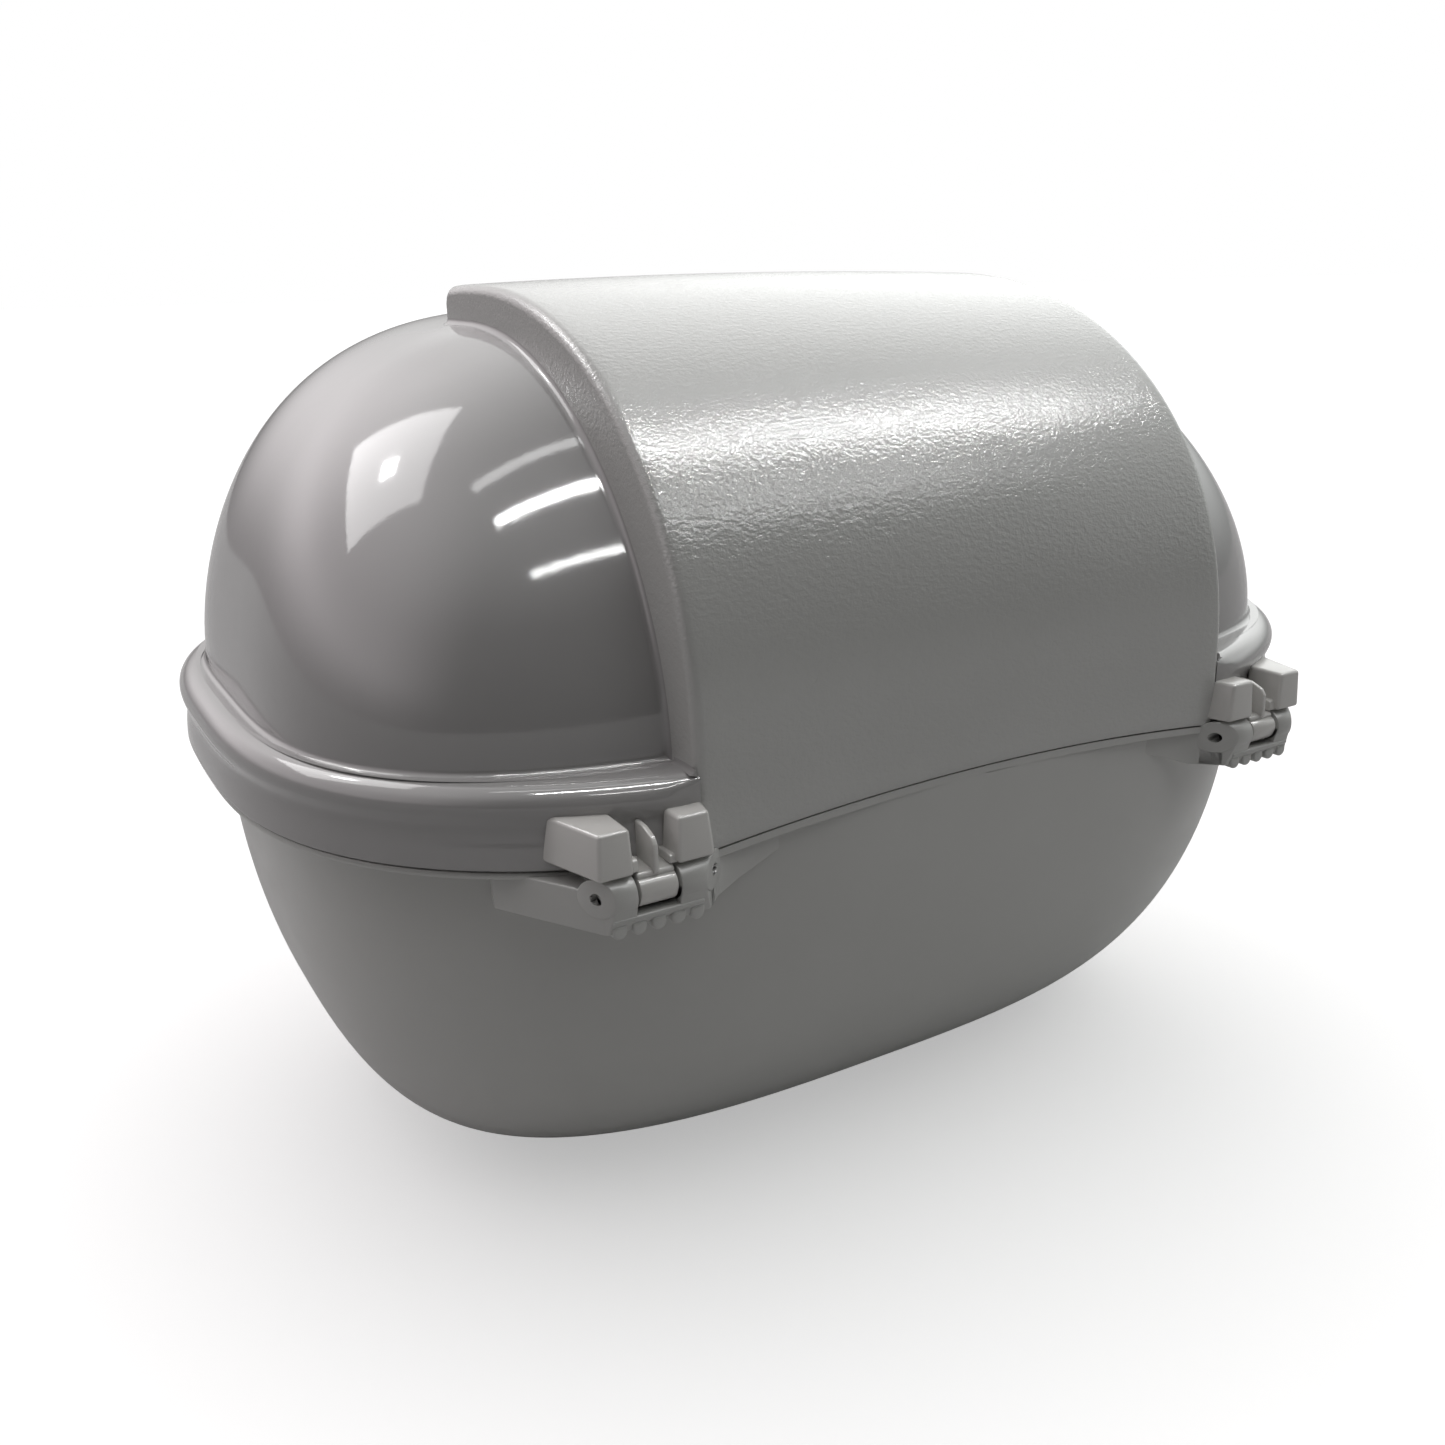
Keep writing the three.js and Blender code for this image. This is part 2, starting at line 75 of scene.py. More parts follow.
PORTAL_HALF, PORTAL_BOTTOM, PORTAL_TOP, PORTAL_CORNER = 120.0, 141.0, 352.0, 42.0
PORTAL_FRONT, PORTAL_BACK, PORTAL_WALL, PORTAL_SILL_BACK = -212.0, -150.0, 3.5, -186.0
DOOR_HALF, DOOR_BOTTOM, DOOR_TOP, DOOR_CORNER = 100.0, 152.0, 338.0, 30.0

AXIS_Y, AXIS_Z = 209.5, 194.6
PIN_BORE, BARREL_R, CLIP_R, CLIP_MOUTH = 2.35, 7.5, 6.2, 4.3
EAR_IN, CLIP_X, EAR_OUT = (140.2, 152.6), (153.8, 169.0), (170.4, 183.0)
BLOCK_BOTTOM, BLOCK_TOP, BLOCK_FACE = 202.9, 220.8, 215.4
LEDGE_BOTTOM = 202.5
RIB_X = (160.5, 162.6)
TOOTH_R, TOOTH_Z, TOOTH_COUNT, TOOTH_FIRST, TOOTH_PITCH = 2.9, 181.5, 5, 145.2, 8.0

FLAP_Y, FLAP_Z = -205.0, 318.0
FLAP_HALF, FLAP_BOTTOM, FLAP_THICK, FLAP_BARREL, FLAP_CORNER = 93.5, 158.8, 3.0, 4.0, 26.0


# ---------- small mathematics ----------
def power(value, exponent):
    return math.copysign(abs(value) ** exponent, value)


def lerp(low, high, share):
    return low + (high - low) * share


def clamp(value, low, high):
    return min(max(value, low), high)


def smoothstep(value, low, high):
    share = clamp((value - low) / (high - low), 0.0, 1.0)
    return share * share * (3 - 2 * share)


def spline(points, steps=5):
    """A smooth curve through points, with the same number of steps in each stretch."""
    padded = [points[0]] + list(points) + [points[-1]]
    curve = []
    for i in range(len(points) - 1):
        p0, p1, p2, p3 = (Vector(p) for p in padded[i:i + 4])
        for k in range(steps):
            t = k / steps
            bend = (2 * p1 + (p2 - p0) * t + (2 * p0 - 5 * p1 + 4 * p2 - p3) * t ** 2
                    + (3 * p1 - p0 - 3 * p2 + p3) * t ** 3)
            curve.append(tuple(bend / 2))
    curve.append(tuple(points[-1]))
    return curve


# ---------- mesh helpers ----------
def made(name, bm, sharp=SHARP_ANGLE):
    bmesh.ops.recalc_face_normals(bm, faces=bm.faces)
    mesh = bpy.data.meshes.new(name)
    bm.to_mesh(mesh)
    bm.free()
    mesh.shade_smooth()
    mesh.set_sharp_from_angle(angle=math.radians(sharp))
    piece = bpy.data.objects.new(name, mesh)
    scene.collection.objects.link(piece)
    return piece


def loft_into(bm, rows, wrap=False, start=None, end=None, caps=False):
    """Joins rings of equal length. start and end are pole points, wrap joins the last ring to the first."""
    rings = [[bm.verts.new([c * MM for c in p]) for p in row] for row in rows]
    count = len(rings[0])
    pairs = list(zip(rings, rings[1:])) + ([(rings[-1], rings[0])] if wrap else [])
    for low, high in pairs:
        for j in range(count):
            k = (j + 1) % count
            bm.faces.new((low[j], low[k], high[k], high[j]))
    for pole, ring in ((start, rings[0]), (end, rings[-1])):
        if pole is not None:
            tip = bm.verts.new([c * MM for c in pole])
            for j in range(count):
                bm.faces.new((ring[j], ring[(j + 1) % count], tip))
    if caps:
        bm.faces.new(rings[0])
        bm.faces.new(rings[-1])


def lofted(name, rows, sharp=SHARP_ANGLE, **options):
    bm = bmesh.new()
    loft_into(bm, rows, **options)
    return made(name, bm, sharp)


ALONG = {
    "x": lambda u, v, w: (w, u, v),     # drawn in (y, z)
    "y": lambda u, v, w: (u, w, v),     # drawn in (x, z)
    "z": lambda u, v, w: (u, v, w),     # drawn in (x, y)
}


def prism_into(bm, outline, axis, low, high, bevel=0.0, segments=3):
    """A prism along an axis, with rounded edges."""
    place = ALONG[axis]
    below, above = ([place(u, v, end) for u, v in outline] for end in (low, high))
    slab_into(bm, below, above, bevel, segments)


def slab_into(bm, below, above, bevel=0.0, segments=3):
    """A solid between two outlines of equal length, with rounded edges."""
    part = bmesh.new()
    rings = [[part.verts.new([c * MM for c in point]) for point in row] for row in (below, above)]
    part.faces.new(rings[0])
    part.faces.new(rings[1])
    count = len(below)
    for j in range(count):
        k = (j + 1) % count
        part.faces.new((rings[0][j], rings[0][k], rings[1][k], rings[1][j]))
    bmesh.ops.recalc_face_normals(part, faces=part.faces)
    if bevel > 0:
        edges = [e for e in part.edges if e.calc_face_angle(0) > math.radians(25)]
        bmesh.ops.bevel(part, geom=edges, offset=bevel * MM, segments=segments, profile=0.5,
                        affect="EDGES", clamp_overlap=True)
    mesh = bpy.data.meshes.new("part")
    part.to_mesh(mesh)
    part.free()
    bm.from_mesh(mesh)
    bpy.data.meshes.remove(mesh)


def turned_into(bm, profile, y, z, facets=40, slant=0.0):
    """Turns a closed (x, radius) profile about a line along X; slant tips its first end."""
    near, far = profile[0][0], profile[-1][0]
    rows = []
    for x, radius in profile:
        ring = []
        for i in range(facets):
            angle = 2 * math.pi * i / facets
            tip = slant * radius * math.cos(angle) * (x - far) / (near - far)
            ring.append((x + tip, y + radius * math.cos(angle), z + radius * math.sin(angle)))
        rows.append(ring)
    loft_into(bm, rows, wrap=True)


def cut(piece, *cutters):
    for cutter in cutters:
        modifier = piece.modifiers.new("cut", "BOOLEAN")
        modifier.operation = "DIFFERENCE"
        modifier.solver = "MANIFOLD"
        modifier.object = cutter
        bpy.context.view_layer.objects.active = piece
        bpy.ops.object.modifier_apply(modifier=modifier.name)
    for cutter in cutters:
        bpy.data.objects.remove(cutter)
    piece.data.shade_smooth()
    piece.data.set_sharp_from_angle(angle=math.radians(SHARP_ANGLE))
    return piece


def ring(a, b, n, z, y0=0.0, front=-1e6, rear=1e6):
    points = []
    for i in range(AROUND):
        angle = 2 * math.pi * i / AROUND
        x = a * power(math.sin(angle), 2 / n)
        y = y0 - b * power(math.cos(angle), 2 / n)
        points.append((x, clamp(y, front, rear), z))
    return points


def rounded_rectangle(half, bottom, top, corner, y, top_corner=None, steps=10):
    top_corner = corner if top_corner is None else top_corner
    points = []
    centres = ((half - corner, bottom + corner, corner, -90),
               (half - top_corner, top - top_corner, top_corner, 0),
               (-half + top_corner, top - top_corner, top_corner, 90),
               (-half + corner, bottom + corner, corner, 180))
    for u, v, radius, first in centres:
        for k in range(steps + 1):
            angle = math.radians(first + 90 * k / steps)
            points.append((u + radius * math.cos(angle), y, v + radius * math.sin(angle)))
    return points


# ---------- surfaces of the hood ----------
def seam_rise(x, y):
    return SEAM_ARCH * max(1 - (x / BAND_HALF) ** 2, 0.0) if y > 0 else 0.0


def seam_share(z):
    return clamp((SHOULDER_Z - z) / (SHOULDER_Z - SEAM_Z), 0.0, 1.0)


def dome_reach(t):
    return max(1 - t ** DOME_SWELL, 0.0) ** (1 / DOME_ROUND)


def dome_z(t):
    return SHOULDER_Z + DOME_HEIGHT * t - DOME_FLAT * t ** DOME_FLAT_POWER


def dome_middle(t):
    return -DOME_LEAN * t ** DOME_LEAN_POWER


def dome_ring(reach, inset):
    t = (1 - reach ** DOME_ROUND) ** (1 / DOME_SWELL)
    shrink = inset * min(1.0, 4 * reach)
    return ring(DOME_A * reach - shrink, DOME_B * reach - shrink, DOME_N, dome_z(t) - inset * t,
                dome_middle(t))


def dome_level(x, y):
    """The height share t at which the dome's outside passes over (x, y)."""
    low, high = 0.0, 1.0
    for _ in range(40):
        t = (low + high) / 2
        reach = max(dome_reach(t), 1e-6)
        out = (abs(x) / (DOME_A * reach)) ** DOME_N + (abs(y - dome_middle(t)) / (DOME_B * reach)) ** DOME_N
        low, high = (t, high) if out < 1 else (low, t)
    return (low + high) / 2


def dome_rear(x, t, inset=0.0):
    reach = dome_reach(t)
    side = min(abs(x) / (DOME_A * reach - inset), 1.0)
    return dome_middle(t) + (DOME_B * reach - inset) * (1 - side ** DOME_N) ** (1 / DOME_N)


def dome_normal(x, y, t):
    """The outward direction of the dome's outside at (x, y), from small differences."""
    def outside(px, py, pt):
        reach = max(dome_reach(pt), 1e-6)
        return ((abs(px) / (DOME_A * reach)) ** DOME_N
                + (abs(py - dome_middle(pt)) / (DOME_B * reach)) ** DOME_N)
    step = 1e-4
    slope_z = DOME_HEIGHT - DOME_FLAT * DOME_FLAT_POWER * t ** (DOME_FLAT_POWER - 1)
    t0, t1 = max(t - step, 0.0), min(t + step, 1.0)
    gx = (outside(x + 0.05, y, t) - outside(x - 0.05, y, t)) / 0.1
    gy = (outside(x, y + 0.05, t) - outside(x, y - 0.05, t)) / 0.1
    gz = (outside(x, y, t1) - outside(x, y, t0)) / (t1 - t0) / max(slope_z, 1e-3)
    return Vector((gx, gy, gz)).normalized()


# ---------- hood: domes, rim and skirt ----------
RIM_PROFILE = [(1.5, 199.3), (0.75, 199.55), (0.5, 200.4), (1.0, 206.0), (1.9, 211.0), (2.3, 214.0),
               (2.1, 216.4), (1.2, 218.8), (0.3, 221.2), (0.0, 223.6), (0.5, 226.0), (1.9, 228.4),
               (4.2, 230.4), (7.2, 231.5), (10.4, 231.8)]
LEDGE = [(0.36, 0.0, 231.8), (0.2, 0.0, 231.5)]
SKIRT_INSIDE = ((4.4, 224.0), (4.4, 215.0), (4.4, 206.0), (4.4, 200.4), (4.0, 199.5), (3.4, 199.3))
FILLET = 2.6
DOME_ROWS = 64


def rim_ring(inset, z):
    return ring(RIM_A - inset, RIM_B - inset, RIM_N, z, front=RIM_FRONT, rear=RIM_REAR)


def ledge_ring(share, inset, z, front, rear):
    return ring(lerp(DOME_A, RIM_A, share) - inset, lerp(DOME_B, RIM_B, share) - inset,
                lerp(DOME_N, RIM_N, share), z, front=front, rear=rear)


def hood_rows_outside():
    rows = [rim_ring(inset, z) for inset, z in spline(RIM_PROFILE, 4)]
    for share, inset, z in LEDGE:
        rows.append(ledge_ring(share, inset, z, RIM_FRONT, RIM_REAR))
    for k in range(7):
        angle = math.radians(90 * k / 6)
        out = FILLET * (1 - math.sin(angle))
        rows.append(ring(DOME_A + out, DOME_B + out, DOME_N, 231.4 + FILLET * (1 - math.cos(angle)),
                         front=RIM_FRONT, rear=RIM_REAR))
    for k in range(3, DOME_ROWS):
        rows.append(dome_ring(math.cos(math.pi / 2 * k / DOME_ROWS), 0.0))
    return rows


def hood_rows_inside():
    rows = [dome_ring(math.cos(math.pi / 2 * k / DOME_ROWS), DOME_WALL)
            for k in range(DOME_ROWS - 1, 1, -2)]
    front, rear = RIM_FRONT + 3.2, RIM_REAR - 3.2
    rows += [ledge_ring(0.0, 3.0, 228.6, front, rear), ledge_ring(0.4, 3.4, 228.7, front, rear),
             ledge_ring(0.75, 4.0, 227.6, front, rear)]
    for inset, z in SKIRT_INSIDE:
        rows.append(ring(RIM_A - inset, RIM_B - inset, RIM_N, z, front=front, rear=rear))
    return rows


def make_hood_shell():
    """The domes, rim and skirt as one wall, open under the band and inside the portal."""
    rows = hood_rows_inside() + hood_rows_outside()
    top = dome_z(1.0)
    shell = lofted("hood_shell", rows, start=(0, dome_middle(1.0), top - DOME_WALL),
                   end=(0, dome_middle(1.0), top))
    bm = bmesh.new()
    prism_into(bm, [(-28.4, 190), (300, 190), (300, 460), (-28.4, 460)], "x", -BAND_CUT, BAND_CUT)
    under_band = made("under_band", bm)
    half, corner = PORTAL_HALF - PORTAL_WALL, PORTAL_CORNER - PORTAL_WALL
    rows = [rounded_rectangle(half + 1.7, PORTAL_BOTTOM + 1.8, PORTAL_TOP - 1.8, corner, y)
            for y in (-260, -110)]
    return cut(shell, under_band, lofted("inside_portal", rows, caps=True))


# ---------- hood: raised band over the crest ----------
def band_height(y):
    return BAND_BASE + BAND_HEIGHT * (1 - abs(y / BAND_DEPTH) ** BAND_N) ** (1 / BAND_N)


def band_profile():
    """Stations (y, z, normal y, normal z, inset) up the hinge side and over the crest to the front corner."""
    stations = [(BAND_DEPTH, HOOD_BOTTOM, 1, 0, 0.8), (BAND_DEPTH, HOOD_BOTTOM + 0.25, 1, 0, 0.25),
                (BAND_DEPTH, HOOD_BOTTOM + 0.8, 1, 0, 0)]
    for k in range(1, 8):
        stations.append((BAND_DEPTH, lerp(HOOD_BOTTOM + 0.8, BAND_BASE, k / 8), 1, 0, 0))
    last = 180 - math.degrees(math.acos(((-BAND_FRONT - BAND_CORNER) / BAND_DEPTH) ** (BAND_N / 2)))
    for k in range(81):
        angle = math.radians(last * k / 80)
        y = BAND_DEPTH * power(math.cos(angle), 2 / BAND_N)
        z = BAND_BASE + BAND_HEIGHT * power(math.sin(angle), 2 / BAND_N)
        normal = Vector((power(y / BAND_DEPTH, BAND_N - 1) / BAND_DEPTH,
                         power((z - BAND_BASE) / BAND_HEIGHT, BAND_N - 1) / BAND_HEIGHT)).normalized()
        stations.append((y, z, normal.x, normal.y, 0))
    yc, zc = BAND_FRONT + BAND_CORNER, band_height(BAND_FRONT + BAND_CORNER) - BAND_CORNER
    for k in range(1, 9):
        angle = math.radians(90 * k / 8)
        stations.append((yc - BAND_CORNER * math.sin(angle), zc + BAND_CORNER * math.cos(angle),
                         -math.sin(angle), math.cos(angle), 0))
    return stations


def band_section(half, radius, offset, steps=44):
    """Points (x, offset along the normal) across the band, from its low X edge to its high X edge."""
    left = []
    for k in range(7):
        angle = math.radians(90 - 15 * k)
        left.append((-(half - radius) - radius * math.sin(angle), offset - radius * (1 - math.cos(angle))))
    flat = half - radius
    middle = [(lerp(-flat, flat, k / steps), offset) for k in range(1, steps)]
    return left + middle + [(-x, h) for x, h in reversed(left)]


def band_feet():
    """Where the band's side walls end, inside the dome's wall, from the skirt up to the front corner."""
    feet = [(BAND_DEPTH - 3.6, 229.6), (198.0, 230.6), (190.0, 230.4)]
    t = 0.0
    while dome_rear(BAND_HALF, t, BAND_SINK) > -23.0:
        feet.append((dome_rear(BAND_HALF, t, BAND_SINK), dome_z(t) - BAND_SINK * t))
        t += 0.004
    return feet


def along_path(path, share):
    """The point at a share of a path's length."""
    lengths = [math.dist(p, q) for p, q in zip(path, path[1:])]
    goal = share * sum(lengths)
    for length, p, q in zip(lengths, path, path[1:]):
        if goal <= length:
            return tuple(lerp(c, d, goal / length) for c, d in zip(p, q))
        goal -= length
    return path[-1]


def band_point(x, y, z):
    across = 1 - (x / BAND_HALF) ** 2
    up = clamp((z - BAND_BASE) / BAND_HEIGHT, 0.0, 1.0)
    return (x, y, z + BAND_CROWN * across * up + seam_rise(x, y) * seam_share(z))


def make_band():
    """The raised band: a closed wall from the skirt over the crest, ending in its front wall."""
    stations = band_profile()
    feet = band_feet()
    upper = [i for i, s in enumerate(stations) if s[1] > 229 or s[0] < 0]
    outer = band_section(BAND_HALF, BAND_EDGE, 0.0)
    inner = band_section(BAND_HALF - BAND_WALL, 1.6, -BAND_WALL)
    rows = []
    for i, (y, z, ny, nz, inset) in enumerate(stations):
        if i < upper[0]:
            foot = (y - 5.6, z)
        else:
            foot = along_path(feet, (i - upper[0]) / (len(stations) - upper[0] + 2))
        narrow = 1 - inset / BAND_HALF
        row = [(-BAND_HALF + inset, *foot)]
        row += [band_point(x * narrow, y + ny * (h - inset), z + nz * (h - inset)) for x, h in outer]
        row += [(BAND_HALF - inset, *foot), (BAND_HALF - BAND_WALL, *foot)]
        row += [band_point(x, y + ny * h, z + nz * h) for x, h in reversed(inner)]
        row += [(-BAND_HALF + BAND_WALL, *foot)]
        rows.append(row)
    corner_row = rows[-1]
    for k in range(1, 5):
        row = []
        for x, y, z in corner_row:
            floor = dome_z(dome_level(x, y)) - BAND_SINK
            row.append((x, y, lerp(z, min(z, floor), k / 4)))
        rows.append(row)
    bm = bmesh.new()
    loft_into(bm, rows)
    bm.verts.ensure_lookup_table()
    count, last = len(rows[0]), len(rows) - 1
    for first in (0, last * count):
        for j in range(count // 2 - 1):
            bm.faces.new([bm.verts[first + k] for k in (j, j + 1, count - 2 - j, count - 1 - j)])
    return made("hood_band", bm)


def make_vents():
    """Cutters for the row of air slots in the band's front wall."""
    slots = []
    for k in range(VENT_COUNT):
        middle = (k - (VENT_COUNT - 1) / 2) * VENT_PITCH
        rows = []
        for y in (BAND_FRONT - 6, BAND_FRONT + 9):
            outline = rounded_rectangle(VENT_WIDTH / 2, VENT_Z - VENT_HEIGHT / 2,
                                        VENT_Z + VENT_HEIGHT / 2, VENT_CORNER, y)
            rows.append([(x + middle, y, z) for x, y, z in outline])
        slots.append(lofted("slot", rows, caps=True))
    return slots


def fillet_strip(bm, path, radius):
    """path holds (point, wall normal, dome normal); the strip is tangent to both faces."""
    rows = []
    for point, wall, dome in path:
        centre = point + radius / (1 + wall.dot(dome)) * (wall + dome)
        between = math.acos(clamp(wall.dot(dome), -1, 1))
        row = []
        for k in range(7):
            turn = k / 6
            mix = math.sin((1 - turn) * between) * wall + math.sin(turn * between) * dome
            mix = mix / math.sin(between)
            row.append(tuple(centre - radius * mix))
        row.append(tuple(point - 0.9 * (wall + dome)))
        rows.append(row)
    loft_into(bm, rows, caps=True)


def fillet_side():
    """Stations of the fillet along the band's high X wall, from the rim up to the front corner."""
    side = []
    t = 0.004
    while dome_rear(BAND_HALF, t) > BAND_FRONT + BAND_EDGE:
        y = dome_rear(BAND_HALF, t)
        side.append((Vector((BAND_HALF, y, dome_z(t))), Vector((1, 0, 0)), dome_normal(BAND_HALF, y, t)))
        t += 0.008 if t < 0.8 else 0.004
    return side


def fillet_front():
    """Stations of the fillet round the front corners and along the front wall."""
    front = []
    centre = Vector((BAND_HALF - BAND_EDGE, BAND_FRONT + BAND_EDGE, 0))
    plan = []
    for k in range(7):
        angle = math.radians(15 * k)
        wall = Vector((math.cos(angle), -math.sin(angle), 0))
        plan.append((centre + BAND_EDGE * wall, wall))
    for k in range(1, 25):
        plan.append((Vector((lerp(centre.x, -centre.x, k / 24), BAND_FRONT, 0)), Vector((0, -1, 0))))
    for k in range(1, 7):
        angle = math.radians(90 + 15 * k)
        wall = Vector((math.cos(angle), -math.sin(angle), 0))
        plan.append((Vector((-centre.x, centre.y, 0)) + BAND_EDGE * wall, wall))
    for place, wall in plan:
        t = dome_level(place.x, place.y)
        front.append((Vector((place.x, place.y, dome_z(t))), wall, dome_normal(place.x, place.y, t)))
    return front


def make_band_fillet():
    side = fillet_side()
    flip = Matrix.Diagonal((-1, 1, 1))
    other = [(flip @ p, flip @ w, flip @ n) for p, w, n in reversed(side)]
    bm = bmesh.new()
    fillet_strip(bm, side + fillet_front() + other, 3.0)
    for sign in (1, -1):
        up = Vector((0, 0, 1))
        wall = Vector((sign, 0, 0))
        path = [(Vector((sign * BAND_HALF, y, z)), wall, up)
                for y, z in ((204.4, 231.4), (196, 231.8), (188, 231.4))]
        fillet_strip(bm, path, 2.2)
    return made("hood_band_fillet", bm, 50)


# ---------- hood: entrance portal ----------
def make_portal():
    """The moulding round the doorway, trimmed to the seam and to the inside of the hood."""
    rows = []
    r = 5.0
    rows.append(rounded_rectangle(PORTAL_HALF, PORTAL_BOTTOM, PORTAL_TOP, PORTAL_CORNER, PORTAL_BACK))
    for k in range(7):
        angle = math.radians(15 * k)
        shrink = r * (1 - math.cos(angle))
        y = PORTAL_FRONT + r - r * math.sin(angle)
        rows.append(rounded_rectangle(PORTAL_HALF - shrink, PORTAL_BOTTOM + shrink, PORTAL_TOP - shrink,
                                      PORTAL_CORNER - shrink, y))
    door = [(0.6, PORTAL_FRONT), (0.0, PORTAL_FRONT + 0.6), (0.0, PORTAL_FRONT + PORTAL_WALL)]
    for grow, y in door:
        rows.append(rounded_rectangle(DOOR_HALF + grow, DOOR_BOTTOM - grow, DOOR_TOP + grow,
                                      DOOR_CORNER + grow, y))
    for y in (PORTAL_FRONT + PORTAL_WALL, PORTAL_BACK):
        rows.append(rounded_rectangle(PORTAL_HALF - PORTAL_WALL, PORTAL_BOTTOM + PORTAL_WALL,
                                      PORTAL_TOP - PORTAL_WALL, PORTAL_CORNER - PORTAL_WALL, y))
    portal = lofted("hood_portal", rows, wrap=True)
    bm = bmesh.new()
    sill = [(PORTAL_SILL_BACK, 100), (-100, 100), (-100, HOOD_BOTTOM), (PORTAL_SILL_BACK, HOOD_BOTTOM)]
    prism_into(bm, sill, "x", -160, 160)
    below = made("below_seam", bm)
    rows = [ring(RIM_A - 4.4, RIM_B - 4.4, RIM_N, 190.0, front=RIM_FRONT + 3.4),
            ring(RIM_A - 4.4, RIM_B - 4.4, RIM_N, 226.0, front=RIM_FRONT + 3.4),
            ring(DOME_A - 2.6, DOME_B - 2.6, DOME_N, 228.6)]
    rows += [dome_ring(math.cos(math.pi / 2 * k / 32), DOME_WALL - 0.4) for k in range(1, 32)]
    cabin = lofted("cabin", rows, start=(0, 0, 190.0),
                   end=(0, dome_middle(1.0), dome_z(1.0) - DOME_WALL))
    return cut(portal, below, cabin)


def make_entrance_frame():
    inset, wall, flange, back, lip = 0.5, 4.5, 5.0, -196.0, 2.6
    front = PORTAL_FRONT - 0.4 - lip
    half, bottom, top, corner = DOOR_HALF, DOOR_BOTTOM, DOOR_TOP, DOOR_CORNER
    hole_half, hole_bottom = half - inset - wall, bottom + inset + wall
    hole_top, hole_corner = FLAP_Z + 5.5, corner - wall

    def outer(grow, y):
        return rounded_rectangle(half + grow, bottom - grow, top + grow, corner + grow, y)

    def hole(grow, y):
        return rounded_rectangle(hole_half + grow, hole_bottom - grow, hole_top + grow,
                                 hole_corner, y, 3.0)

    rows = [outer(-inset, back), outer(-inset, PORTAL_FRONT - 0.4), outer(flange, PORTAL_FRONT - 0.4),
            outer(flange, front + 1.2), outer(flange - 0.35, front + 0.35), outer(flange - 1.2, front),
            hole(1.0, front), hole(0.3, front + 0.3), hole(0.0, front + 1.0), hole(0.0, back)]
    return lofted("entrance_surround", rows, wrap=True)


def make_flap():
    y0, y1 = FLAP_Y - FLAP_THICK / 2, FLAP_Y + FLAP_THICK / 2

    def plate(shrink, y):
        return rounded_rectangle(FLAP_HALF - shrink, FLAP_BOTTOM + shrink, FLAP_Z - shrink * 0.2,
                                 FLAP_CORNER - shrink, y, 1.0)

    bm = bmesh.new()
    rows = [plate(11.0, y0 + 0.9), plate(10.0, y0 + 0.2), plate(9.0, y0), plate(0.8, y0),
            plate(0.0, y0 + 0.8), plate(0.0, y1 - 0.8), plate(0.8, y1)]
    loft_into(bm, rows, caps=True)
    barrel = [(-FLAP_HALF, 2.1), (-FLAP_HALF, 3.4), (-FLAP_HALF + 0.6, FLAP_BARREL),
              (FLAP_HALF - 0.6, FLAP_BARREL), (FLAP_HALF, 3.4), (FLAP_HALF, 2.1)]
    turned_into(bm, barrel, FLAP_Y, FLAP_Z, 32)
    return made("flap_panel", bm)


# ---------- hinge and clip units ----------
def span(pair, side):
    return (pair[0], pair[1]) if side > 0 else (-pair[1], -pair[0])


def barrel_profile(start, end, radius, bore, soft):
    """A tube's closed (x, radius) profile with softened outer edges."""
    step = math.copysign(soft, end - start)
    return [(start, bore), (start, radius - soft), (start + 0.3 * step, radius - 0.3 * soft),
            (start + step, radius), (end - step, radius), (end - 0.3 * step, radius - 0.3 * soft),
            (end, radius - soft), (end, bore)]


def skirt_y(x):
    """The middle of the hood skirt's thickness on the long sides."""
    return min(218.6 * (1 - (x / 278.2) ** RIM_N) ** (1 / RIM_N), 203.4)


def wall_y(x):
    """The middle of the tray wall's thickness on the long sides, near its top."""
    return min(203.2 * (1 - (x / 261.4) ** TRAY_TOP[2]) ** (1 / TRAY_TOP[2]), 198.0)


def level(points, z, sx, sy):
    """An outline at height z, mirrored for a unit's side by sx and sy."""
    return [(sx * x, sy * y, z) for x, y in points]


def side_on(points, sy):
    return [(sy * u, v) for u, v in points]


def blocks_into(bm, sx, sy):
    face = BLOCK_FACE
    below = [(132.6, 203.4), (137.6, face - 0.2), (153.0, face), (153.6, skirt_y(153.6))]
    above = [(137.0, 203.4), (139.4, face - 0.9), (152.2, face - 0.8), (152.4, skirt_y(152.4))]
    slab_into(bm, level(below, BLOCK_BOTTOM, sx, sy), level(above, BLOCK_TOP, sx, sy), 1.6, 4)
    below = [(170.6, skirt_y(170.6)), (170.6, face), (184.8, face), (194.4, skirt_y(194.4)),
             (183.0, skirt_y(183))]
    above = [(171.2, skirt_y(171.2)), (171.6, face - 0.8), (184.0, face - 0.6), (191.6, skirt_y(191.6)),
             (182.0, skirt_y(182))]
    slab_into(bm, level(below, BLOCK_BOTTOM, sx, sy), level(above, BLOCK_TOP, sx, sy), 1.6, 4)


def ledges_into(bm, sx, sy):
    for pair, top in (((152.0, 155.2), 206.2), ((167.8, 171.6), 207.6)):
        back = skirt_y(pair[1])
        ledge = [(back, LEDGE_BOTTOM), (212.2, LEDGE_BOTTOM), (213.0, LEDGE_BOTTOM + 0.8),
                 (212.4, top - 0.8), (211.4, top), (back, top)]
        prism_into(bm, side_on(ledge, sy), "x", *span(pair, sx), 0.6, 3)


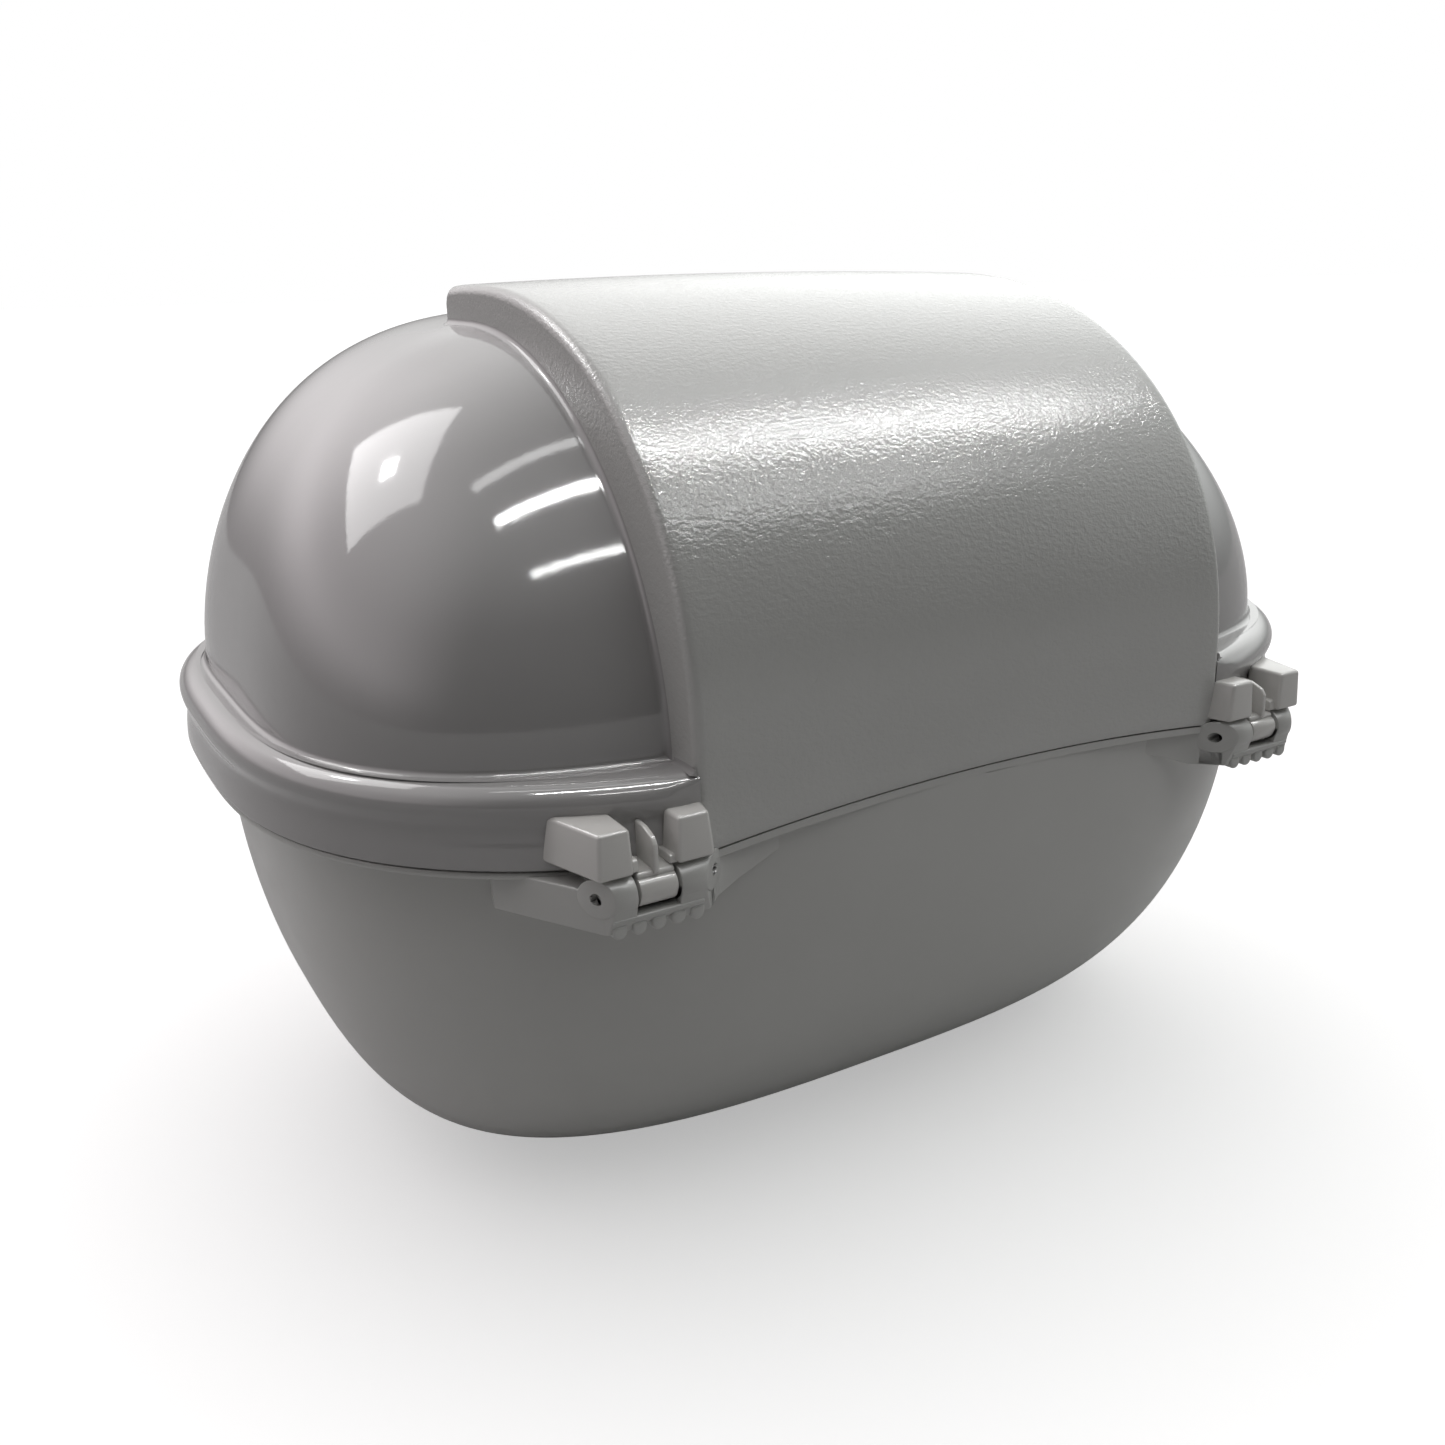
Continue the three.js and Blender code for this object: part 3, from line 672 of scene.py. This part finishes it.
def clip_outline():
    """The snap clip's C shape in (y, z), thicker where it bulges outwards, with its mouth downwards."""
    open_out = math.asin(CLIP_MOUTH / 2 / CLIP_R)
    open_in = math.asin(CLIP_MOUTH / 2 / (PIN_BORE + 0.2))
    clip = []
    for k in range(33):
        angle = lerp(-math.pi / 2 + open_out, 1.5 * math.pi - open_out, k / 32)
        out = CLIP_R + 0.7 * smoothstep(math.cos(angle - 0.45), 0.75, 1.0)
        clip.append((AXIS_Y + out * math.cos(angle), AXIS_Z + out * math.sin(angle)))
    for k in range(17):
        angle = lerp(1.5 * math.pi - open_in, -math.pi / 2 + open_in, k / 16)
        clip.append((AXIS_Y + PIN_BORE * math.cos(angle), AXIS_Z + PIN_BORE * math.sin(angle)))
    return clip


def make_hood_unit(name, sx, sy):
    """Two moulded blocks with stepped ledges, a rib and a snap clip between them."""
    bm = bmesh.new()
    blocks_into(bm, sx, sy)
    ledges_into(bm, sx, sy)
    prism_into(bm, side_on(clip_outline(), sy), "x", *span(CLIP_X, sx), 0.4, 2)
    back = skirt_y(CLIP_X[1])
    floor = [(back, 199.8), (AXIS_Y, 199.2), (AXIS_Y + 3.4, 199.6), (AXIS_Y + 4.0, 200.8),
             (AXIS_Y + 3.0, 202.2), (AXIS_Y - 4, 202.8), (back, 203.4)]
    prism_into(bm, side_on(floor, sy), "x", *span(CLIP_X, sx), 0.6, 3)
    back = skirt_y(161.5)
    rib = [(back, 202), (213.4, 200.6), (214.6, 201.8), (214.2, 212.0), (212.2, 214.8), (206, 217.0),
           (back, 217.4)]
    prism_into(bm, side_on(rib, sy), "x", *span(RIB_X, sx), 0.6, 3)
    return made(name, bm)


def along_wall(first, last, steps=6):
    places = [lerp(first, last, k / steps) for k in range(steps + 1)]
    return [(x, wall_y(x)) for x in places]


def bracket_into(bm, sx, sy):
    """The beam under the pin, its root on the tray's wall and the feet of the two ears."""
    beam = [(190.4, 180.2), (208, 180.2), (213.0, 182.6), (215.4, 185.8), (214.4, 187.1), (203.5, 186.9),
            (200.4, 190.0), (199.0, 197.6), (190.4, 197.6)]
    prism_into(bm, side_on(beam, sy), "x", *span((142.4, 180.0), sx), 0.9, 3)
    root = along_wall(EAR_IN[0], EAR_OUT[1]) + [(EAR_OUT[1] - 1, 199.0), (EAR_IN[0], 199.0)]
    slab_into(bm, level(root, 180.4, sx, sy), level(root, 197.4, sx, sy), 0.5, 2)
    feet = (([(152.6, 199), (152.6, 213), (139.1, 213), (130.5, 204.4), (130.5, 199)],
             [(152.6, 199), (152.6, 217), (143.1, 217), (130.5, 204.4), (130.5, 199)]),
            ([(170.4, 199), (170.4, 213), (181.2, 213), (186.4, 204.3), (186.4, 199)],
             [(170.4, 199), (170.4, 217), (179.0, 217), (186.4, 204.3), (186.4, 199)]))
    for below, above in feet:
        slab_into(bm, level(below, 180.8, sx, sy), level(above, AXIS_Z, sx, sy), 0.5, 3)


def ears_into(bm, sx, sy):
    """The two pin ears, whose outer ends slant."""
    for start, end, lean in ((135.0, EAR_IN[1], 1.0), (184.0, EAR_OUT[0], -0.59)):
        turned_into(bm, barrel_profile(sx * start, sx * end, BARREL_R, PIN_BORE, 0.7),
                    sy * AXIS_Y, AXIS_Z, slant=sx * sy * lean)


def teeth_into(bm, sx, sy):
    for k in range(TOOTH_COUNT):
        middle = TOOTH_FIRST + TOOTH_PITCH * k
        tooth = []
        for step in range(9):
            angle = math.pi + math.pi * step / 8
            tooth.append((sx * (middle + TOOTH_R * math.cos(angle)), TOOTH_Z + TOOTH_R * math.sin(angle)))
        tooth += [(sx * (middle + TOOTH_R), 184.0), (sx * (middle - TOOTH_R), 184.0)]
        back = wall_y(middle - 2.7) + 1.0
        prism_into(bm, tooth, "y", *sorted((sy * back, sy * 214.4)), 0.9, 3)


def wings_into(bm, sx, sy):
    """The side wing, and the fairing whose top follows the seam and whose foot tapers into the tray."""
    wing = along_wall(205.0, 178.0) + [(177.0, 206.0), (177.0, 212.0), (181.9, 212.0), (191.4, 195.8),
                                       (207.6, 168.0)]
    slab_into(bm, level(wing, 180.4, sx, sy), level(wing, 197.0, sx, sy), 0.9, 3)
    outer = [(127.0, 202.6), (131.0, 204.9), (135.6, 209.5), (138.5, 212.4), (147.0, 212.4)]
    if sy < 0:
        fairing = [(122.4, 201.6)] + outer + along_wall(147.0, 122.4)
    else:
        fairing = [(92.0, 199.0), (108.0, 200.4), (120.0, 201.4)] + outer + along_wall(147.0, 92.0)
    top = [(sx * x, sy * y, 197.6 + seam_rise(x, sy * y)) for x, y in fairing]
    foot = [(sx * x, sy * y, lerp(180.8, 194.0, clamp((128 - x) / 36, 0, 1))) for x, y in fairing]
    slab_into(bm, foot, top, 0.9, 3)


def bore_cutter(first, last, sx, sy):
    circles = []
    for x in (first, last):
        circles.append([(sx * x, sy * AXIS_Y + PIN_BORE * math.cos(a * math.pi / 16),
                         AXIS_Z + PIN_BORE * math.sin(a * math.pi / 16)) for a in range(32)])
    return lofted("bore", circles, caps=True)


def make_tray_unit(name, sx, sy):
    """Pin ears on a toothed bracket, with a side wing and a fairing that run back into the tray's wall."""
    bm = bmesh.new()
    bracket_into(bm, sx, sy)
    ears_into(bm, sx, sy)
    teeth_into(bm, sx, sy)
    wings_into(bm, sx, sy)
    unit = made(name, bm)
    for first, last in ((120.0, 140.2), (182.6, 196.0)):
        unit = cut(unit, bore_cutter(first, last, sx, sy))
    return unit


# ---------- tray ----------
# (inset from the rim, height) up the flange, then over the raised lip that the hood fits round
FLANGE_ROWS = ((12.0, 195.2), (3.0, 195.5), (1.8, 195.8), (1.5, 196.6), (1.5, 197.5), (1.8, 198.2),
               (2.6, 198.5))
LIP_ROWS = ((5.8, 198.5), (6.3, 198.9), (6.4, 199.6), (6.4, 205.2), (6.9, 205.9), (7.6, 206.0),
            (8.3, 205.9), (8.8, 205.2), (8.8, 199.0), (9.4, 198.5))
TRAY_REAR, LIP_REAR_OUT, LIP_REAR_IN = 204.9, 201.2, 198.6


def tray_ring(t, inset, z, rear):
    end = (1 - (1 - t) ** TRAY_END_CURVE[0]) ** (1 / TRAY_END_CURVE[1])
    side = (1 - (1 - t) ** TRAY_SIDE_CURVE[0]) ** (1 / TRAY_SIDE_CURVE[1])
    return ring(lerp(TRAY_BASE[0], TRAY_TOP[0], end) - inset, lerp(TRAY_BASE[1], TRAY_TOP[1], side) - inset,
                lerp(TRAY_BASE[2], TRAY_TOP[2], t), z, rear=rear)


def arched(rows):
    """Lifts the rows near the rim by the seam's arch on the hinge side."""
    bent = []
    for row in rows:
        bent.append([(x, y, z + seam_rise(x, y) * smoothstep(z, 150, FLANGE_Z)) for x, y, z in row])
    return bent


def make_tray():
    steps = [(k / 48) ** 2.2 for k in range(49)]
    rows = [tray_ring(t, 0, FLANGE_Z * t, TRAY_REAR) for t in steps]
    for inset, z in FLANGE_ROWS:
        rows.append(ring(RIM_A - inset, RIM_B - inset, RIM_N, z, rear=TRAY_REAR))
    for inset, z in LIP_ROWS:
        rear = lerp(LIP_REAR_OUT, LIP_REAR_IN, (inset - 6.4) / 2.4)
        rows.append(ring(RIM_A - inset, RIM_B - inset, RIM_N, z, rear=rear))
    for t in reversed(steps):
        z = max(FLANGE_Z * t + (3.0 if t > 0.99 else 0.0), TRAY_WALL)
        if t > 0.01:
            rows.append(tray_ring(t, TRAY_WALL, z, 196.4))
    tray = lofted("tray_shell", arched(rows), start=(0, 0, 0), end=(0, 0, TRAY_WALL))
    door = [rounded_rectangle(PORTAL_HALF + 0.6, PORTAL_BOTTOM - 0.8, 300, PORTAL_CORNER, y)
            for y in (-260, -150)]
    return cut(tray, lofted("doorway", door, caps=True))


# ---------- materials ----------
def node_material(name):
    material = bpy.data.materials.new(name)
    material.use_nodes = True
    tree = material.node_tree
    shader = tree.nodes["Principled BSDF"]
    return material, tree, shader


def noise(tree, scale, detail=4.0, rough=0.5, stretch=(1, 1, 1)):
    where = tree.nodes.new("ShaderNodeTexCoord")
    mapping = tree.nodes.new("ShaderNodeMapping")
    mapping.inputs["Scale"].default_value = stretch
    texture = tree.nodes.new("ShaderNodeTexNoise")
    texture.inputs["Scale"].default_value = scale
    texture.inputs["Detail"].default_value = detail
    texture.inputs["Roughness"].default_value = rough
    tree.links.new(where.outputs["Object"], mapping.inputs["Vector"])
    tree.links.new(mapping.outputs["Vector"], texture.inputs["Vector"])
    return texture.outputs["Fac"]


def ranged(tree, value, low, high, from_low=0.3, from_high=0.7):
    node = tree.nodes.new("ShaderNodeMapRange")
    node.inputs["From Min"].default_value = from_low
    node.inputs["From Max"].default_value = from_high
    node.inputs["To Min"].default_value = low
    node.inputs["To Max"].default_value = high
    tree.links.new(value, node.inputs["Value"])
    return node.outputs["Result"]


def tinted(tree, value, dark, light):
    node = tree.nodes.new("ShaderNodeMix")
    node.data_type = "RGBA"
    node.inputs["A"].default_value = (*dark, 1)
    node.inputs["B"].default_value = (*light, 1)
    tree.links.new(value, node.inputs["Factor"])
    return node.outputs["Result"]


def bumped(tree, height, distance, strength=1.0, under=None):
    node = tree.nodes.new("ShaderNodeBump")
    node.inputs["Strength"].default_value = strength
    node.inputs["Distance"].default_value = distance
    tree.links.new(height, node.inputs["Height"])
    if under is not None:
        tree.links.new(under, node.inputs["Normal"])
    return node.outputs["Normal"]


def moulded(name, dark, light, gloss, grain, grain_scale, grain_depth):
    """Moulded plastic: faint clouding, handling marks in the gloss and a fine grain."""
    material, tree, shader = node_material(name)
    clouds = ranged(tree, noise(tree, 9.0, 5.0), 0.0, 1.0)
    tree.links.new(tinted(tree, clouds, dark, light), shader.inputs["Base Color"])
    marks = ranged(tree, noise(tree, 22.0, 6.0, 0.6, (1, 1, 2.2)), gloss[0], gloss[1])
    tree.links.new(marks, shader.inputs["Roughness"])
    fine = noise(tree, grain_scale, 3.0, 0.55)
    tree.links.new(bumped(tree, fine, grain_depth, grain), shader.inputs["Normal"])
    shader.inputs["IOR"].default_value = 1.52
    return material


def band_material():
    """The band's leathery moulded texture: broad wrinkles with a finer pebble over them."""
    material, tree, shader = node_material("band_textured_plastic")
    clouds = ranged(tree, noise(tree, 7.0, 5.0), 0.0, 1.0)
    colour = tinted(tree, clouds, (0.46, 0.46, 0.447), (0.49, 0.49, 0.477))
    tree.links.new(colour, shader.inputs["Base Color"])
    marks = ranged(tree, noise(tree, 16.0, 6.0, 0.6), 0.09, 0.14)
    tree.links.new(marks, shader.inputs["Roughness"])
    wrinkle = noise(tree, 560.0, 3.0, 0.5, (0.7, 1, 1))
    pebble = noise(tree, 1100.0, 2.0, 0.5)
    first = bumped(tree, wrinkle, 0.0006, 0.45)
    tree.links.new(bumped(tree, pebble, 0.0002, 0.35, first), shader.inputs["Normal"])
    shader.inputs["IOR"].default_value = 1.5
    return material


def flap_material():
    material, tree, shader = node_material("flap_clear_plastic")
    marks = ranged(tree, noise(tree, 30.0, 6.0, 0.6), 0.08, 0.2)
    tree.links.new(marks, shader.inputs["Roughness"])
    haze = ranged(tree, noise(tree, 12.0, 4.0), 0.0, 1.0)
    tree.links.new(tinted(tree, haze, (0.42, 0.45, 0.47), (0.5, 0.53, 0.55)), shader.inputs["Base Color"])
    shader.inputs["Transmission Weight"].default_value = 0.55
    shader.inputs["IOR"].default_value = 1.5
    return material


def filter_material():
    material, tree, shader = node_material("carbon_foam")
    cells = noise(tree, 900.0, 3.0, 0.6)
    tree.links.new(tinted(tree, ranged(tree, cells, 0, 1), (0.008, 0.008, 0.009), (0.05, 0.05, 0.052)),
                   shader.inputs["Base Color"])
    tree.links.new(bumped(tree, cells, 0.0015, 0.9), shader.inputs["Normal"])
    shader.inputs["Roughness"].default_value = 0.95
    return material


def dress(piece, material):
    piece.data.materials.clear()
    piece.data.materials.append(material)


# ---------- light, floor and camera ----------
def area_light(name, place, aim, size, watts, colour):
    """A rectangular light that shows in reflections only."""
    data = bpy.data.lights.new(name, "AREA")
    data.shape = "RECTANGLE"
    data.size, data.size_y = size
    data.energy = watts
    data.color = colour
    light = bpy.data.objects.new(name, data)
    scene.collection.objects.link(light)
    light.location = place
    light.rotation_euler = (Vector(aim) - Vector(place)).to_track_quat("-Z", "Y").to_euler()
    light.visible_diffuse = False


def glow(tree, direction, low, high, start, stop):
    """Brightness that grows towards a direction in the room."""
    where = tree.nodes.new("ShaderNodeTexCoord")
    dot = tree.nodes.new("ShaderNodeVectorMath")
    dot.operation = "DOT_PRODUCT"
    dot.inputs[1].default_value = Vector(direction).normalized()
    tree.links.new(where.outputs["Generated"], dot.inputs[0])
    node = tree.nodes.new("ShaderNodeMapRange")
    node.interpolation_type = "SMOOTHSTEP"
    for name, value in (("From Min", start), ("From Max", stop), ("To Min", low), ("To Max", high)):
        node.inputs[name].default_value = value
    tree.links.new(dot.outputs["Value"], node.inputs["Value"])
    return node.outputs["Result"]


def sky(tree, sources):
    """A sum of soft sources, each fading out towards the horizon."""
    total = None
    for direction, high, start, stop, colour in sources:
        part = tree.nodes.new("ShaderNodeBackground")
        part.inputs["Color"].default_value = (*colour, 1)
        fade = tree.nodes.new("ShaderNodeMath")
        fade.operation = "MULTIPLY"
        tree.links.new(glow(tree, direction, 0.0, high, start, stop), fade.inputs[0])
        tree.links.new(glow(tree, (0, 0, 1), 0.25, 1.0, 0.0, 0.3), fade.inputs[1])
        tree.links.new(fade.outputs["Value"], part.inputs["Strength"])
        if total is None:
            total = part.outputs["Background"]
        else:
            both = tree.nodes.new("ShaderNodeAddShader")
            tree.links.new(total, both.inputs[0])
            tree.links.new(part.outputs["Background"], both.inputs[1])
            total = both.outputs["Shader"]
    return total


def mixed(tree, path_output, plain, chosen):
    """Uses one shader for rays of one kind and another for the rest."""
    path = tree.nodes.new("ShaderNodeLightPath")
    mix = tree.nodes.new("ShaderNodeMixShader")
    tree.links.new(path.outputs[path_output], mix.inputs["Fac"])
    tree.links.new(plain, mix.inputs[1])
    tree.links.new(chosen, mix.inputs[2])
    return mix.outputs["Shader"]


def make_world():
    """Soft sources for diffuse light, others for reflections, and a white surround in direct view."""
    world = bpy.data.worlds.new("studio")
    scene.world = world
    world.use_nodes = True
    tree = world.node_tree
    room = sky(tree, (
        ((-0.42, 0.02, 0.90), 1.35, 0.45, 1.0, (0.99, 1.0, 0.99)),
        ((0.40, -0.78, 0.48), 1.2, 0.25, 1.0, (1.0, 0.95, 0.965)),
    ))
    mirrored = sky(tree, (
        ((-0.30, -0.80, 0.52), 1.1, 0.55, 1.0, (1.0, 0.99, 0.985)),
        ((0.85, -0.50, 0.30), 2.0, 0.30, 1.0, (1.0, 0.93, 0.955)),
        ((-0.85, -0.20, 0.33), 1.8, 0.40, 1.0, (0.97, 1.0, 0.985)),
        ((0.0, -0.1, 1.0), 1.2, 0.45, 1.0, (1.0, 1.0, 1.0)),
    ))
    seen = tree.nodes.new("ShaderNodeBackground")
    seen.inputs["Color"].default_value = (1, 1, 1, 1)
    seen.inputs["Strength"].default_value = 1.0
    indirect = mixed(tree, "Is Glossy Ray", room, mirrored)
    surface = mixed(tree, "Is Camera Ray", indirect, seen.outputs["Background"])
    tree.links.new(surface, tree.nodes["World Output"].inputs["Surface"])


def floor_material():
    """Pale in direct view; as a reflector it is darker, and fades away from the object: painted shade that
    deepens with distance.
    """
    material, tree, shader = node_material("pale_floor")
    where = tree.nodes.new("ShaderNodeTexCoord")
    far = tree.nodes.new("ShaderNodeVectorMath")
    far.operation = "LENGTH"
    tree.links.new(where.outputs["Object"], far.inputs[0])
    # Painted shade: the colour that bounced light sees darkens with distance from the object.
    near = ranged(tree, far.outputs["Value"], 1.0, 0.0, 0.3, 1.1)
    tree.links.new(tinted(tree, near, (0.08, 0.08, 0.08), (0.6, 0.6, 0.6)), shader.inputs["Base Color"])
    shader.inputs["Roughness"].default_value = 0.9
    lit = tree.nodes.new("ShaderNodeBsdfDiffuse")
    lit.inputs["Color"].default_value = (0.75, 0.75, 0.75, 1)
    lift = tree.nodes.new("ShaderNodeEmission")
    lift.inputs["Strength"].default_value = 0.45
    pale = tree.nodes.new("ShaderNodeAddShader")
    tree.links.new(lit.outputs["BSDF"], pale.inputs[0])
    tree.links.new(lift.outputs["Emission"], pale.inputs[1])
    reflected = tree.nodes.new("ShaderNodeBsdfDiffuse")
    reflected.inputs["Color"].default_value = (0.6, 0.6, 0.6, 1)
    indirect = mixed(tree, "Is Glossy Ray", shader.outputs["BSDF"], reflected.outputs["BSDF"])
    surface = mixed(tree, "Is Camera Ray", indirect, pale.outputs["Shader"])
    tree.links.new(surface, tree.nodes["Material Output"].inputs["Surface"])
    return material


def make_floor():
    bm = bmesh.new()
    rows = []
    for radius in (200, 1500, 6000, 20000, 60000):
        rows.append([(radius * math.cos(a * math.pi / 32), radius * math.sin(a * math.pi / 32), 0)
                     for a in range(64)])
    loft_into(bm, rows, start=(0, 0, 0))
    floor = made("floor", bm)
    floor.location.z = -0.0004
    dress(floor, floor_material())


def make_camera():
    data = bpy.data.cameras.new("camera")
    data.lens = 33.685
    data.sensor_width = 36
    data.clip_end = 50
    camera = bpy.data.objects.new("camera", data)
    scene.collection.objects.link(camera)
    place = Vector((0.36118, 0.61443, 0.40374))
    forward = Vector((-0.47115, -0.82550, -0.31075)).normalized()
    roll = math.radians(-1.47)
    right = forward.cross(Vector((0, 0, 1))).normalized()
    up = right.cross(forward)
    across = right * math.cos(roll) + up * math.sin(roll)
    upward = up * math.cos(roll) - right * math.sin(roll)
    turn = Matrix((across, upward, -forward)).transposed().to_4x4()
    camera.matrix_world = Matrix.Translation(place) @ turn
    scene.camera = camera


# ---------- the scene ----------
def build():
    # Painted shade: the hood's tone is set darker than the tray's to stand in for the shade on it; the real
    # box is probably one grey.
    gloss = moulded("hood_gloss_plastic_painted_shade", (0.34, 0.333, 0.331), (0.37, 0.363, 0.36),
                    gloss=(0.05, 0.1), grain=0.12, grain_scale=260.0, grain_depth=0.0002)
    satin = moulded("tray_satin_plastic", (0.46, 0.46, 0.445), (0.49, 0.49, 0.475),
                    gloss=(0.288, 0.36), grain=0.15, grain_scale=900.0, grain_depth=0.0001)
    # Painted light: the clips' and pins' tones are set paler than the tray's to stand in for the light
    # falling on them.
    pale = moulded("clip_plastic_painted_light", (0.6, 0.59, 0.57), (0.64, 0.63, 0.61),
                   gloss=(0.19, 0.26), grain=0.15, grain_scale=900.0, grain_depth=0.0001)
    pins = moulded("pin_plastic_painted_light", (0.6, 0.585, 0.55), (0.66, 0.64, 0.6),
                   gloss=(0.19, 0.26), grain=0.2, grain_scale=500.0, grain_depth=0.0002)
    textured = band_material()

    def place(piece, body, slot, material, *nodes):
        dress(piece, material)
        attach(piece, body)
        if nodes:
            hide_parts(*nodes)
        return piece

    place(make_hood_shell(), "hood", "hood_plastic", gloss, "hood")
    place(cut(make_band(), *make_vents()), "hood", "hood_plastic", textured)
    place(make_band_fillet(), "hood", "hood_plastic", gloss)
    place(make_portal(), "hood", "hood_plastic", gloss)
    place(make_entrance_frame(), "hood", "hood_plastic", satin, "entrance_frame")
    place(make_flap(), "flap", "flap_plastic", flap_material(), "entrance_flap")
    place(make_tray(), "tray", "tray_plastic", satin, "tray")
    for side, sx in (("left", 1), ("right", -1)):
        place(make_hood_unit(f"hood_hinge_blocks_{side}", sx, 1), "hood", "hood_plastic", pale)
        place(make_hood_unit(f"hood_front_clips_{side}", sx, -1), "hood", "hood_plastic", pale)
        place(make_tray_unit(f"tray_hinge_bracket_{side}", sx, 1), "tray", "tray_plastic", satin)
        place(make_tray_unit(f"tray_front_bracket_{side}", sx, -1), "tray", "tray_plastic", satin)
        for node in (f"hinge_pin_{side}", f"front_clip_bar_{side}", f"flap_pin_{side}"):
            dress(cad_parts[node], pins)
    dress(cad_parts["filter_holder"], satin)
    dress(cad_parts["carbon_filter"], filter_material())


def make_lights():
    """Long strips overhead, and a softbox with a small lamp near its middle."""
    for name, y, watts in (("strip_back", 0.05, 7), ("strip_middle", 0.62, 75), ("strip_near", 1.6, 34)):
        area_light(name, (-0.7, y, 2.4), (-0.7, y, 0.0), (3.0, 0.12), watts, (1.0, 1.0, 1.0))
    aim = (0.2, 0.08, 0.34)
    area_light("softbox", (0.95, -0.92, 1.65), aim, (1.0, 1.0), 14, (1.0, 0.99, 0.99))
    area_light("softbox_lamp", (0.93, -0.90, 1.62), aim, (0.16, 0.16), 3, (1.0, 1.0, 1.0))


build()
make_world()
make_floor()
make_camera()
make_lights()
scene.view_settings.view_transform = "Standard"
